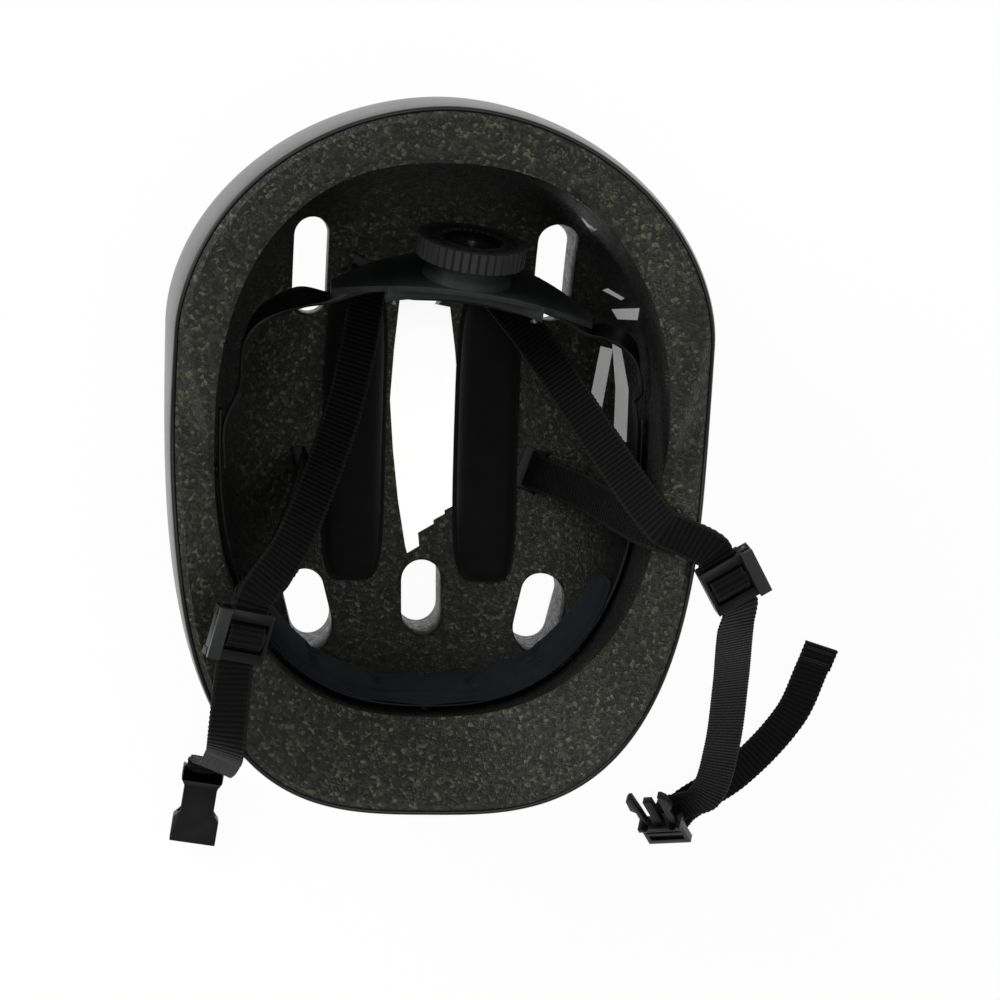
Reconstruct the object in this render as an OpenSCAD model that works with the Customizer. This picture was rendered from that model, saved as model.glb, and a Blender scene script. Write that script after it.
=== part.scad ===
// Half-shell skate and bicycle helmet, lying on its crown with the opening up.
// +Z points up out of the opening, +Y to the back of the head, +X to the wearer's right.
// The origin is the lowest point of the crown, which rests on the plane z = 0.

/* [Shell] */
// Width of the shell over its widest level
shell_w = 213.6; // [206:0.2:220]
// Length of the shell from brow to nape
shell_l = 283; // [276:1:292]
// Height from the crown to the widest level
wide_h = 102; // [96:1:106]
// Height from the crown to the rim at the middle of the sides
rim_h = 143; // [139:1:150]
// How much higher the rim is at the nape than at mid length
rim_rise = 11; // [8:1:14]
// How much the rim drops at both ends of the helmet
rim_sag = 6; // [3:1:8]
// Depth of the rim's arch over each ear
ear_arch = 6; // [3:1:9]
// Wall of the outer shell
shell_t = 2; // [1.6:0.2:3]

/* [Liner] */
// Foam under the crown, inside the shell
liner_t = 28; // [24:1:32]
// Width of the opening between the liner's inner edges
cavity_w = 174; // [169:1:178]
// Distance from the origin to the liner's inner edge at the brow
cavity_front = 104.8; // [102:0.2:108]
// Distance from the origin to the liner's inner edge at the nape
cavity_rear = 115.8; // [113:0.2:118]
// How far the liner's rim slopes down into the opening at the brow
brow_bevel = 20; // [14:1:22]

/* [Vents] */
// Width of the front vents
front_vent_w = 17.5; // [14:0.5:19]
// Length of the front vents
front_vent_l = 32; // [27:1:35]
// Width of the rear vents
rear_vent_w = 15; // [12:1:17]
// Length of the rear vents
rear_vent_l = 41; // [34:1:44]
// Distance of the outer vents from the middle
vent_x = 48.5; // [47:0.5:52]

/* [Pads] */
// Width of a crown pad
pad_w = 27; // [22:1:28]
// Length of a crown pad
pad_l = 124; // [112:1:126]
// Thickness of a crown pad
pad_t = 8; // [5:1:9]
// Thickness of the brow pad
brow_pad_t = 6; // [4:1:9]
// Height of the brow pad
brow_pad_h = 30; // [24:1:34]

/* [Head ring] */
// Height of the plastic band
band_h = 12; // [9:1:14]
// Thickness of the plastic band
band_t = 1.2; // [0.9:0.1:1.5]
// Diameter of the anchor pins that hold the band
anchor_d = 6; // [5:0.5:7]

/* [Cradle] */
// Width of the nape yoke
yoke_w = 105; // [100:1:112]
// Height of the nape yoke at its middle
yoke_h = 37; // [35:1:40]
// Thickness of the nape yoke
yoke_t = 2.2; // [1.6:0.2:3]
// Diameter of the size dial
dial_d = 43.6; // [42:0.2:46]
// Thickness of the size dial
dial_t = 8; // [7:0.2:10]
// Number of grip ridges around the dial
dial_ridges = 40; // [30:1:48]
// Tooth size of the pinion and its racks
gear_module = 1.2; // [1:0.1:1.3]
// Number of teeth on the pinion
gear_teeth = 10; // [8:2:12]
// Distance that each rack travels
rack_travel = 12; // [8:1:12]

/* [Webbing] */
// Width of the webbing
web_w = 15; // [13:0.5:16]
// Thickness of the webbing
web_t = 1.2; // [0.9:0.1:1.4]

/* [Buckles] */
// Width of the chin buckle's body
buckle_w = 20; // [19.5:0.5:23]
// Thickness of the chin buckle's body
buckle_t = 8.4; // [8:0.2:10]
// Length of the buckle socket
socket_l = 34; // [31:1:38]
// Width of a strap slider
slider_w = 19; // [18.5:0.5:21]
// Length of a strap slider
slider_l = 20; // [18:1:22]

/* [Hidden] */
// True circle for turned and drilled features
fine = 48;
// Steps around the plan outline and up the dome
steps_round = 60;
steps_up = 12;
// Exponents of the plan outline ahead of and behind its widest point, and of the dome
plan_front_n = 3.04;
plan_rear_n = 1.9;
cavity_front_n = 2.45;
cavity_rear_n = 2.35;
dome_n = 2.25;
// Lengthwise place of the widest point of the shell and of the cavity
shell_wide_y = 51;
cavity_wide_y = 10;
half_l = shell_l / 2;
// Fraction of the steps that lies below the widest level
wide_share = 0.75;
// Half angle of the flat that the crown rests on
crown_angle = 5.5;
// How far the shell has leaned inwards at tuck_h above its widest level
tuck = 4.2;
tuck_h = 45;
liner_lip = 1.5;
liner_edge = 2.5;
// Bond line between the shell and the foam moulded into it
liner_seat = 0.03;
cavity_floor = shell_t + liner_t;
cavity_wide_h = wide_h - 12;
vent_shift = 2;
// Short middle vent at the rear, whose upper end stays below the dial
rear_mid_vent_y = 62.5;
rear_mid_vent_l = 22;
pad_x = 14.5 + pad_w / 2;
pad_mid_y = 2;
brow_pad_top = cavity_wide_h + 8;
band_inset = 1.6;
band_mid_h = cavity_wide_h - 1;
band_end_angle = 2;
anchor_angles = [186, 228, 270, 312, 354];
// Pose of the cradle: the middle of the yoke's outer face, its lean and its turn
cradle_at = [11.2, 73.4, wide_h - 1.4];
cradle_lean = 14.5;
cradle_turn = -6;
// The yoke's plate is part of a cone, drawn in towards the neck by this slope
yoke_r = 118;
yoke_slope = 0.12;
fit_gap = 0.3;
channel_h = 24;
rail_t = 2;
cover_w = 62;
cover_t = 1.6;
rack_t = 2;
tab_t = 0.8;
// Radii of the outer faces of the racks and of their cover, inside the yoke
rack_r = yoke_r - yoke_t - yoke_slope * channel_h / 2 - fit_gap;
cover_r = rack_r - rack_t - fit_gap;
rack_reach = cover_w / 2 - 5 + rack_travel;
boss_r = 15;
boss_t = 5.5;
dial_y = boss_t + fit_gap;
rack_y = rack_r - rack_t - yoke_r;
pitch_r = gear_module * gear_teeth / 2;
tooth_pitch = PI * gear_module;
shaft_d = 5;
webs = web_t + 0.4;
slider_t = 7;
pin_d = 1.5;
// Where the straps cross the rim, as angles around the plan
cross_right = 343;
cross_left = 230;

// Signed power
function spow(v, e) = sign(v) * pow(abs(v), e);
function mix(a, b, k) = a + (b - a) * k;
function unit(v) = v / norm(v);
// Oval in plan made of two superellipses that meet at their widest point
function plan(t, half_w, front, rear, wide_y, nf, nr) =
  let (n = sin(t) >= 0 ? nr : nf, reach = sin(t) >= 0 ? rear - wide_y : front + wide_y)
  [half_w * spow(cos(t), 2 / n), wide_y + reach * spow(sin(t), 2 / n)];
function shell_plan(t) =
  plan(t, shell_w / 2, half_l, half_l, shell_wide_y, plan_front_n, plan_rear_n);
function cavity_plan(t) =
  plan(t, cavity_w / 2, cavity_front, cavity_rear, cavity_wide_y, cavity_front_n, cavity_rear_n);
// Height of the rim above the crown at a distance along the helmet
function rim_z(y) =
  let (u = y / half_l)
  rim_h + rim_rise * u - rim_sag * u * u
  - ear_arch * exp(-pow((y - 8) / 34, 2)) + 5 * exp(-pow((y - 72) / 30, 2));
// Point of the shell, or of a surface parallel to it, at plan angle t and share s of the way up
function shell_pt(t, s, inset) =
  let (q = shell_plan(t), k = (norm(q) - inset) / norm(q),
       a = mix(crown_angle, 90, min(s / wide_share, 1)),
       c0 = pow(cos(crown_angle), 2 / dome_n),
       low = inset + (wide_h - inset) * (c0 - pow(cos(a), 2 / dome_n)) / c0,
       over = max(s - wide_share, 0) / (1 - wide_share) * (rim_z(q.y) - wide_h),
       f = pow(sin(a), 2 / dome_n) * (1 - tuck * pow(over / tuck_h, 2) / norm(q)))
  [q.x * k * f, q.y * k * f, low + over];
// Height of the liner's inner edge, lower at the brow than elsewhere
function inner_rim_z(t) =
  rim_z(shell_plan(t).y) - 3 - (brow_bevel - 3) * pow(max(-sin(t), 0), 2);
// Share of the cavity's full width that is open at height z
function cavity_share(z) =
  let (h = (z - cavity_floor) / (cavity_wide_h - cavity_floor))
  h >= 1 ? 1 : pow(1 - pow(1 - max(h, 0), dome_n), 1 / dome_n);
// Point on the cavity's wall at plan angle t and height z, moved inwards by inset
function wall_pt(t, z, inset) =
  let (c = [0, cavity_wide_y], q = cavity_plan(t) - c, f = cavity_share(z), r = norm(q) * f,
       k = f * (r - inset) / max(r, 1))
  [c.x + q.x * k, c.y + q.y * k, z];
// Height of the cavity's floor at a place in plan
function floor_z(x, y) =
  let (n = y >= cavity_wide_y ? cavity_rear_n : cavity_front_n,
       l = y >= cavity_wide_y ? cavity_rear - cavity_wide_y : cavity_front + cavity_wide_y,
       f = pow(pow(abs(x) * 2 / cavity_w, n) + pow(abs(y - cavity_wide_y) / l, n), 1 / n))
  cavity_floor + (cavity_wide_h - cavity_floor) * (1 - pow(max(1 - pow(f, dome_n), 0), 1 / dome_n));
// Point of the cavity at plan angle t and share s of the way from its floor to its edge
function cavity_pt(t, s) =
  let (a = 90 * min(s / wide_share, 1),
       low = cavity_floor + (cavity_wide_h - cavity_floor) * (1 - pow(cos(a), 2 / dome_n)),
       z = low + max(s - wide_share, 0) / (1 - wide_share) * (inner_rim_z(t) - cavity_wide_h))
  wall_pt(t, z, 0);
function rim_pt(t) = shell_pt(t, 1, 0);
function turn(t) = 360 * t / steps_round;

// Turn about Y
function roll_y(p, a) = [p.x * cos(a) + p.z * sin(a), p.y, -p.x * sin(a) + p.z * cos(a)];
// Turn about X, then about Z, as the cradle lies
function lean_turn(p, a, b) =
  let (y = p.y * cos(a) - p.z * sin(a), z = p.y * sin(a) + p.z * cos(a))
  [p.x * cos(b) - y * sin(b), p.x * sin(b) + y * cos(b), z];
function cradle_dir(p) = lean_turn(p, cradle_lean, cradle_turn);
function cradle_pt(p) = cradle_at + cradle_dir(p);

// Rings of points, each with the same count, skinned into a closed solid. Each four-cornered
// patch is halved along one diagonal or the other, so that two nested skins can match.
module skin(rings, other_half = false) {
  n = len(rings[0]);
  m = len(rings);
  points = [for (r = rings, p = r) p];
  sides = [for (j = [0:m - 2], i = [0:n - 1])
    let (a = j * n + i, b = j * n + (i + 1) % n, c = a + n, d = b + n)
    for (f = other_half ? [[a, c, b], [c, d, b]] : [[a, d, b], [a, c, d]]) f];
  caps = [[for (i = [0:n - 1]) i], [for (i = [n - 1:-1:0]) (m - 1) * n + i]];
  polyhedron(points, concat(sides, caps), convexity = 6);
}

// Smooth path through the control rows, which hold a place and the webbing's width direction
function bend(a, b, way_a, way_b, k) =
  a * (2 * k * k * k - 3 * k * k + 1) + b * (3 * k * k - 2 * k * k * k)
  + (way_a * (k * k * k - 2 * k * k + k) + way_b * (k * k * k - k * k)) * norm(b - a);
// Direction of that path
function bend_way(a, b, way_a, way_b, k) =
  unit((b - a) * 6 * (k - k * k)
       + (way_a * (3 * k * k - 4 * k + 1) + way_b * (3 * k * k - 2 * k)) * norm(b - a));
function smooth(rows, steps) =
  let (m = len(rows))
  [for (j = [0:m - 2], i = [0:(j == m - 2 ? steps : steps - 1)])
    let (k = i / steps, a = rows[j][0], b = rows[j + 1][0],
         way_a = unit(b - rows[max(j - 1, 0)][0]), way_b = unit(rows[min(j + 2, m - 1)][0] - a))
    [bend(a, b, way_a, way_b, k), mix(rows[j][1], rows[j + 1][1], k), bend_way(a, b, way_a, way_b, k)]];
// Flat band of width w and thickness t that follows the control rows
module ribbon(rows, w, t, steps = 6) {
  skin([for (row = smooth(rows, steps))
    let (p = row[0], way = row[2], side = unit(row[1] - way * (row[1] * way)), face = cross(way, side))
    [p + side * w / 2 + face * t / 2, p - side * w / 2 + face * t / 2,
     p - side * w / 2 - face * t / 2, p + side * w / 2 - face * t / 2]]);
}

module outer_shell() {
  color("#1b1b1c")
    difference() {
      skin(concat(
        [for (j = [0:steps_up]) [for (i = [0:steps_round - 1]) shell_pt(turn(i), j / steps_up, 0)]],
        [for (j = [steps_up:-1:0]) [for (i = [0:steps_round - 1]) shell_pt(turn(i), j / steps_up, shell_t)]]));
      vents();
    }
}

module eps_liner() {
  lip = [0, 0, liner_lip];
  color("#3c3c38")
    difference() {
      skin(concat(
        [for (j = [0:steps_up]) [for (i = [0:steps_round - 1])
          shell_pt(turn(i), j / steps_up, shell_t + liner_seat)]],
        [[for (i = [0:steps_round - 1]) shell_pt(turn(i), 1, shell_t + liner_edge) + lip]],
        [[for (i = [0:steps_round - 1]) inner_lip(turn(i))]],
        [for (j = [steps_up:-1:1]) [for (i = [0:steps_round - 1]) cavity_pt(turn(i), j / steps_up)]]),
        other_half = true);
      vents();
      for (side = [-1, 1], rear = [false, true])
        anchor_place(side, rear) pocket();
      for (t = anchor_angles)
        pin_place(t) translate([0, 0, -2]) cylinder(d = anchor_d + 0.2, h = 16, $fn = fine);
    }
}
// Rounded inner edge of the liner's rim
function inner_lip(t) =
  let (p = cavity_pt(t, 1), out = unit([p.x, p.y - cavity_wide_y, 0]))
  p + out * liner_edge + [0, 0, liner_lip];

module vents() {
  for (side = [-1, 1]) {
    vent([side * vent_x + vent_shift, -70.5], front_vent_w, front_vent_l, side * -15);
    vent([side * (vent_x + 2) + vent_shift, 72], rear_vent_w, rear_vent_l, 0);
  }
  vent([vent_shift, -66.5], front_vent_w, front_vent_l - 2, 0);
  vent([vent_shift - 2, rear_mid_vent_y], rear_vent_w + 1, rear_mid_vent_l, 0);
}
// Straight slot with round ends, cut along Z
module vent(at, w, l, angle) {
  translate([at.x, at.y, -1])
    rotate([0, 0, angle])
      linear_extrude(wide_h)
        union() {
          square([w, l - w], center = true);
          for (s = [-1, 1])
            translate([0, s * (l - w) / 2])
              circle(d = w, $fn = fine);
        }
}

// Soft block on the cavity's floor with a crowned face and drawn-in ends
module crown_pad(side) {
  stations = 16;
  skin([for (j = [0:stations])
    let (v = 2 * j / stations - 1, ends = pow(max(1 - pow(abs(v), 6), 0.02), 0.5),
         y = pad_mid_y + pad_l / 2 * sin(90 * v), w = pad_w * (0.72 + 0.28 * ends), t = pad_t * (0.25 + 0.75 * ends))
    [for (i = [0:11])
      let (a = -30 * i, x = side * pad_x + w / 2 * spow(cos(a), 0.6))
      [x, y, floor_z(x, y) + fit_gap + t * pow(max(sin(a), 0), 0.5)]]]);
}
module crown_pad_left() {
  color("#161618") crown_pad(-1);
}
module crown_pad_right() {
  color("#161618") crown_pad(1);
}

// Soft crescent on the inner face of the front band
module brow_pad() {
  stations = 26;
  start = 209;
  sweep = 122;
  foot = band_inset + band_t + fit_gap;
  color("#1a2029")
    skin([for (j = [0:stations])
      let (v = 2 * j / stations - 1, ends = pow(max(1 - pow(abs(v), 8), 0.03), 0.5), t = start + sweep * j / stations)
      [for (i = [0:11])
        let (a = 30 * i, h = brow_pad_h / 2 * (0.6 + 0.4 * ends), deep = brow_pad_t * ends,
             z = brow_pad_top - brow_pad_h / 2 - h * spow(cos(a), 0.7))
        wall_pt(t, z, foot + deep * pow(max(sin(a), 0), 0.5))]]);
}

module front_ring_band() {
  start = 180 - band_end_angle;
  sweep = 180 + 2 * band_end_angle;
  count = 48;
  low = band_mid_h - band_h / 2;
  color("#101012")
    difference() {
      skin([for (j = [0:count])
        let (t = start + sweep * j / count)
        [wall_pt(t, low, band_inset), wall_pt(t, low + band_h, band_inset),
         wall_pt(t, low + band_h, band_inset + band_t), wall_pt(t, low, band_inset + band_t)]]);
      for (t = anchor_angles)
        pin_place(t) translate([0, 0, -10]) cylinder(d = anchor_d - 2, h = 20, $fn = fine);
    }
}
// Local +Z runs outwards through the cavity's wall at plan angle t
module pin_place(t) {
  along = wall_pt(t + 1, band_mid_h, 0) - wall_pt(t - 1, band_mid_h, 0);
  translate(wall_pt(t, band_mid_h, 0))
    rotate([0, 90, atan2(-along.x, along.y)])
      children();
}
module ring_anchors() {
  collar_t = 0.6;
  color("#0c0c0e")
    for (t = anchor_angles)
      pin_place(t) {
        translate([0, 0, 0.2 - band_inset])
          cylinder(d = anchor_d + 1.4, h = collar_t, $fn = fine);
        translate([0, 0, -band_inset])
          cylinder(d = anchor_d - 2, h = band_inset, $fn = fine);
        translate([0, 0, -fit_gap])
          cylinder(d = anchor_d, h = 12, $fn = fine);
        translate([0, 0, -band_inset - band_t])
          cylinder(d = anchor_d - 2, h = band_t + 0.01, $fn = fine);
      }
}

// Flexible arm from one end of the front band into the yoke, where it laps its rack
module ring_arm(side) {
  up = [0, 0, 1];
  lean_up = cradle_dir([0, 0, 1]);
  inset = band_inset + band_t * 1.5 + 2 * fit_gap;
  root = side > 0 ? 0 : 180;
  r = rack_r - tab_t - band_t / 2;
  // Slack of the arm beyond the yoke, seen from the yoke's middle
  slack = side > 0 ? [[57.5, -22.5, -5], [67.5, -28.5, -5.5], [72, -43, -5.5]]
                   : [[-66, -12, -2], [-80, -19, -3], [-87, -30, -4]];
  color("#131315")
    ribbon(concat(
      [[wall_pt(root - side * 6, band_mid_h, inset), up],
       [wall_pt(root, band_mid_h, inset), up],
       [wall_pt(root + side * 6, band_mid_h, inset + (side > 0 ? 0.5 : 5)), up],
       [cradle_at + slack[2], up],
       [cradle_at + slack[1], side > 0 ? unit([-0.2, -0.6, 0.75]) : unit([0.1, -0.5, 0.8])],
       [cradle_at + slack[0], side > 0 ? unit([-0.15, -0.6, 0.75]) : unit([0.15, -0.8, 0.55])]],
      [for (f = [27, 22.5, 18, 14])
        [cradle_pt([side * r * sin(f), r * cos(f) - yoke_r, 0]), lean_up]]),
      band_h - 2, band_t, 5);
}
module ring_arm_left() {
  ring_arm(-1);
}
module ring_arm_right() {
  ring_arm(1);
}

module cradle_place() {
  translate(cradle_at)
    rotate([0, 0, cradle_turn])
      rotate([cradle_lean, 0, 0])
        children();
}
// Local frame of the cradle: X across, Y out of the helmet, Z towards the neck
module across_y(from, depth) {
  translate([0, from, 0])
    rotate([-90, 0, 0])
      linear_extrude(depth)
        children();
}
module yoke_outline() {
  rise = yoke_h / 2;
  tip = 4;
  r = (pow(yoke_w / 2, 2) + pow(rise - tip, 2)) / (2 * (rise - tip));
  intersection() {
    translate([0, r - rise])
      circle(r, $fn = 96);
    translate([0, rise - r])
      circle(r, $fn = 96);
    square([yoke_w, yoke_h], center = true);
  }
}
// Round body about the yoke's centre of curvature, narrower towards the neck by slope
module drum(r, slope = 0) {
  h = 60;
  translate([0, -yoke_r, -h / 2])
    cylinder(r1 = r + slope * h / 2, r2 = r - slope * h / 2, h = h, $fn = 96);
}
module nape_yoke() {
  rail_z = (channel_h + rail_t) / 2;
  color("#4a4d50")
    cradle_place()
      difference() {
        intersection() {
          drum(yoke_r, yoke_slope);
          union() {
            difference() {
              across_y(-60, 90) yoke_outline();
              drum(yoke_r - yoke_t, yoke_slope);
            }
            // Rails that close the channel of the racks
            difference() {
              for (z = [-rail_z, rail_z])
                translate([-cover_w / 2, -30, z - rail_t / 2])
                  cube([cover_w, 50, rail_t]);
              drum(cover_r);
            }
          }
        }
        across_y(-10, 30) circle(d = shaft_d + 2 * fit_gap, $fn = fine);
        cover_screw_rods(1.6);
      }
}
// Plate under the racks, on the side of the head
module rack_cover() {
  color("#141416")
    cradle_place()
      difference() {
        intersection() {
          drum(cover_r);
          across_y(-40, 60)
            square([cover_w, channel_h + 2 * rail_t], center = true);
        }
        drum(cover_r - cover_t);
        cover_screw_rods(1.6);
      }
}
cover_screw_x = cover_w / 2 - 3;
cover_screw_y = sqrt(pow(cover_r - cover_t, 2) - pow(cover_screw_x, 2)) - yoke_r;
module cover_screw_rods(d, from = 0.2, depth = 3.4) {
  for (x = [-1, 1], z = [-1, 1])
    translate([x * cover_screw_x, cover_screw_y - from, z * (channel_h + rail_t) / 2])
      rotate([-90, 0, 0])
        cylinder(d = d, h = depth, $fn = fine);
}
module cover_screws() {
  color("#8a8d90")
    cradle_place() {
      cover_screw_rods(1.6, 0.6, 3.8);
      cover_screw_rods(3, 1.3, 0.8);
    }
}
module nape_pad() {
  pad = 3;
  color("#17181b")
    cradle_place()
      difference() {
        intersection() {
          drum(cover_r - cover_t);
          across_y(-40, 60)
            union() {
              square([cover_w - 10, channel_h - 6], center = true);
              square([cover_w - 16, channel_h], center = true);
            }
        }
        drum(cover_r - cover_t - pad);
      }
}
// Raised seat of the dial on the yoke's outer face
module dial_base() {
  color("#3c3f42")
    cradle_place()
      difference() {
        translate([0, -4, 0])
          rotate([-90, 0, 0])
            cylinder(r1 = boss_r + 4, r2 = boss_r, h = 4 + boss_t, $fn = 96);
        drum(yoke_r, yoke_slope);
        across_y(-10, 30) circle(d = shaft_d + 2 * fit_gap, $fn = fine);
      }
}

// Curved rack: its teeth face the pinion, its thin tab is lapped by the arm
module rack(side) {
  tooth_w = tooth_pitch * 0.34;
  addendum = gear_module * 0.85;
  root = pitch_r + gear_module * 1.05;
  back = channel_h / 2 - fit_gap;
  inner_end = 7;
  tab_l = 11;
  teeth_in = floor((inner_end - tooth_w) / tooth_pitch - 0.5);
  teeth_out = floor((rack_reach - tab_l) / tooth_pitch - 0.5);
  bar_l = rack_reach - tab_l;
  color("#1d1d20")
    cradle_place()
      difference() {
        intersection() {
          drum(rack_r);
          across_y(-30, 50)
            scale([-side, -side])
              union() {
                translate([-bar_l, root])
                  square([bar_l + inner_end, back - root]);
                translate([-rack_reach, 1 - band_h / 2])
                  square([tab_l, back + band_h / 2 - 1]);
                for (i = [-teeth_in:teeth_out])
                  translate([-(i + 0.5) * tooth_pitch, 0])
                    polygon([[-tooth_w * 0.7, root + 0.5], [-tooth_w * 0.35, pitch_r - addendum],
                             [tooth_w * 0.35, pitch_r - addendum], [tooth_w * 0.7, root + 0.5]]);
              }
        }
        drum(rack_r - rack_t);
        // Step under the tab for the arm
        intersection() {
          drum(rack_r - tab_t);
          translate([side > 0 ? bar_l : -rack_reach - 1, -60, -40])
            cube([tab_l + 1, 90, 80]);
        }
      }
}
module rack_left() {
  rack(-1);
}
module rack_right() {
  rack(1);
}
module pinion() {
  tip_r = pitch_r + gear_module * 0.8;
  foot_r = pitch_r - gear_module * 1.1;
  half = 360 / gear_teeth / 2;
  color("#d8d8d2")
    cradle_place()
      difference() {
        union() {
          across_y(rack_y, rack_t)
            polygon([for (i = [0:gear_teeth - 1], c = [[foot_r, -0.52], [tip_r, -0.2], [tip_r, 0.2], [foot_r, 0.52]])
              let (a = 90 + 2 * half * i + half * c[1] * 0.95)
              [c[0] * cos(a), c[0] * sin(a)]]);
          across_y(rack_y, dial_y - rack_y + 3) circle(d = shaft_d, $fn = fine);
        }
        across_y(rack_y + 1, 20) circle(d = 2, $fn = fine);
      }
}
module size_dial() {
  outer = dial_d / 2;
  recess_r = 12;
  color("#1f2022")
    cradle_place()
      difference() {
        across_y(dial_y, dial_t)
          polygon([for (i = [0:dial_ridges - 1], c = [[-0.5, 1.1], [-0.3, 0], [0.3, 0], [0.5, 1.1]])
            let (a = (i + c[0]) * 360 / dial_ridges)
            [(outer - c[1]) * cos(a), (outer - c[1]) * sin(a)]]);
        // Hollow back around the central boss
        translate([0, -0.01, 0])
          across_y(dial_y, dial_t - 2.6)
            difference() {
              circle(outer - 3, $fn = 96);
              circle(d = shaft_d + 4, $fn = fine);
            }
        across_y(dial_y - 1, 1 + 3) circle(d = shaft_d, $fn = fine);
        across_y(dial_y, dial_t + 1) circle(d = 2, $fn = fine);
        // Toothed recess in the face
        across_y(dial_y + dial_t - 1.2, 2)
          polygon([for (i = [0:31], c = [[-0.5, 0], [-0.2, 0.9], [0.2, 0.9], [0.5, 0]])
            let (a = (i + c[0]) * 360 / 32)
            [(recess_r + c[1]) * cos(a), (recess_r + c[1]) * sin(a)]]);
        // Ring of dimples
        for (i = [0:15])
          rotate([0, 360 * i / 16, 0])
            translate([17, dial_y + dial_t - 0.6, 0])
              rotate([-90, 0, 0])
                cylinder(d = 1.6, h = 2, $fn = 24);
      }
}
module dial_screw() {
  color("#8a8d90")
    cradle_place() {
      across_y(rack_y + 1.2, dial_t + dial_y - rack_y - 2.4) circle(d = 2, $fn = fine);
      across_y(dial_y + dial_t - 1.2, 1) circle(d = 5, $fn = fine);
    }
}
// Two bowed fingers on the dial's seat that click against the inside of the dial's wall
module detent_spring() {
  reach = dial_d / 2 - 3 - 0.5;
  color("#c9c9c4")
    cradle_place()
      across_y(boss_t, 2.6)
        for (side = [0, 180])
          rotate(side) {
            difference() {
              circle(reach - 1.4, $fn = 96);
              circle(reach - 2.6, $fn = 96);
              translate([-50, -100])
                square([100, 100]);
              rotate(-100)
                translate([-50, -100])
                  square([100, 100]);
            }
            rotate(78)
              translate([reach - 2.4, -1])
                square([2.4, 2]);
            rotate(6)
              translate([5, -1.5])
                square([reach - 6.6, 3]);
          }
}

// Anchor pockets: local +Z points up out of the liner's floor
rear_anchor_turn = 25;
front_anchor_turn = 72;
anchor_rear = [24, 69];
anchor_front = [47, -12];
function anchor_at(side, rear) =
  let (p = rear ? anchor_rear : anchor_front)
  [side * p.x, p.y, floor_z(p.x, p.y)];
module anchor_place(side, rear) {
  translate(anchor_at(side, rear))
    rotate([0, 0, side * (rear ? rear_anchor_turn : front_anchor_turn)])
      children();
}
module pocket() {
  translate([-web_w / 2 - 1.5, -5, -7])
    cube([web_w + 3, 10, 40]);
}
module strap_anchor() {
  difference() {
    translate([-web_w / 2 - 1.5, -5, -7])
      cube([web_w + 3, 10, 3]);
    translate([-web_w / 2 - 0.3, -webs / 2, -8])
      cube([web_w + 0.6, webs, 5]);
  }
}
module strap_anchors_front() {
  color("#0e0e10")
    for (side = [-1, 1])
      anchor_place(side, false) strap_anchor();
}
module strap_anchors_rear() {
  color("#0e0e10")
    for (side = [-1, 1])
      anchor_place(side, true) strap_anchor();
}

// Places on the route of the straps
function rim_top(t, out, up) =
  let (p = rim_pt(t), d = unit([p.x, p.y, 0]))
  p + d * out + [0, 0, liner_lip + up];
stack = web_t + 0.3;
layer = stack / 2 + 0.1;
// Straight run of a leg before it enters its slider
leg_in = 5;
// How far a chin strap reaches into its slider, and the line beyond the mouth that it swings about
strap_in = 0.4;
swing_out = 1.4;
slider_right_at = rim_top(cross_right - 1.3, 14.2, -2.6);
slider_right_turn = 31;
slider_right_tip = -15;
slider_right_roll = 0;
slider_left_at = [12.5 - cavity_w / 2, -65.5, rim_z(-65) + liner_lip + slider_t / 2 + 2];
slider_left_turn = -14;
slider_left_tip = -3;
slider_left_roll = 16;
// Local frame of a slider: +Y towards the head, -Y towards the chin, +Z its face
function slider_pt(right, p) =
  right ? slider_right_at + lean_turn(roll_y(p, slider_right_roll), -slider_right_tip, slider_right_turn)
        : slider_left_at + lean_turn(roll_y(p, slider_left_roll), -slider_left_tip, slider_left_turn);
function slider_dir(right, p) = slider_pt(right, p) - slider_pt(right, [0, 0, 0]);
module slider_place(right) {
  translate(right ? slider_right_at : slider_left_at)
    rotate([0, 0, right ? slider_right_turn : slider_left_turn])
      rotate([right ? -slider_right_tip : -slider_left_tip, 0, 0])
        rotate([0, right ? slider_right_roll : slider_left_roll, 0])
          children();
}

// Two layers cross the rim on the right, the rear leg over the front one
rim_w = (shell_w - cavity_w) / 2;
edge_right = rim_top(cross_right + 3, 2.8 - rim_w, 2);
over_right = mix(edge_right, slider_pt(true, [0, slider_l / 2 + leg_in, 0]), 0.5) + [0, 0, 0.6];
stack_up = [0, 0, stack + 0.6];
module leg(rows, right, rear) {
  side = right ? 1 : -1;
  a = anchor_at(side, rear);
  way = side * (rear ? rear_anchor_turn : front_anchor_turn);
  start_side = [cos(way), sin(way), 0];
  color("#101011")
    ribbon(concat(
      [for (z = [-6.5, -1, 5]) [[a.x, a.y, a.z + z], start_side]],
      rows,
      [for (y = [leg_in, 2, -2])
        [slider_pt(right, [0, slider_l / 2 + y, (rear ? 1 : -1) * (layer + 0.15 * max(y, 0))]),
         slider_dir(right, [1, 0, 0])]]),
      web_w, web_t, 6);
}
module rear_strap_right() {
  a = anchor_at(1, true);
  b = edge_right + stack_up;
  leg([
    [mix(a, b, 0.3) + [0, 3, 0], unit([0.75, 0.66, 0])],
    [mix(a, b, 0.7), unit([0.7, 0.71, 0])],
    [b, unit([0.68, 0.73, 0])],
    [over_right + stack_up, unit([0.72, 0.69, 0.1])]
  ], true, true);
}
module front_strap_right() {
  a = anchor_at(1, false);
  b = edge_right + [-1, -3, 0];
  leg([
    [mix(a, b, 0.4) + [0, 1, -4], unit([0.1, 0.99, 0])],
    [mix(a, b, 0.8) + [-1, 0, -1], unit([0.3, 0.95, 0])],
    [b, unit([0.5, 0.86, 0])],
    [over_right, unit([0.66, 0.75, 0.1])]
  ], true, false);
}
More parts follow.
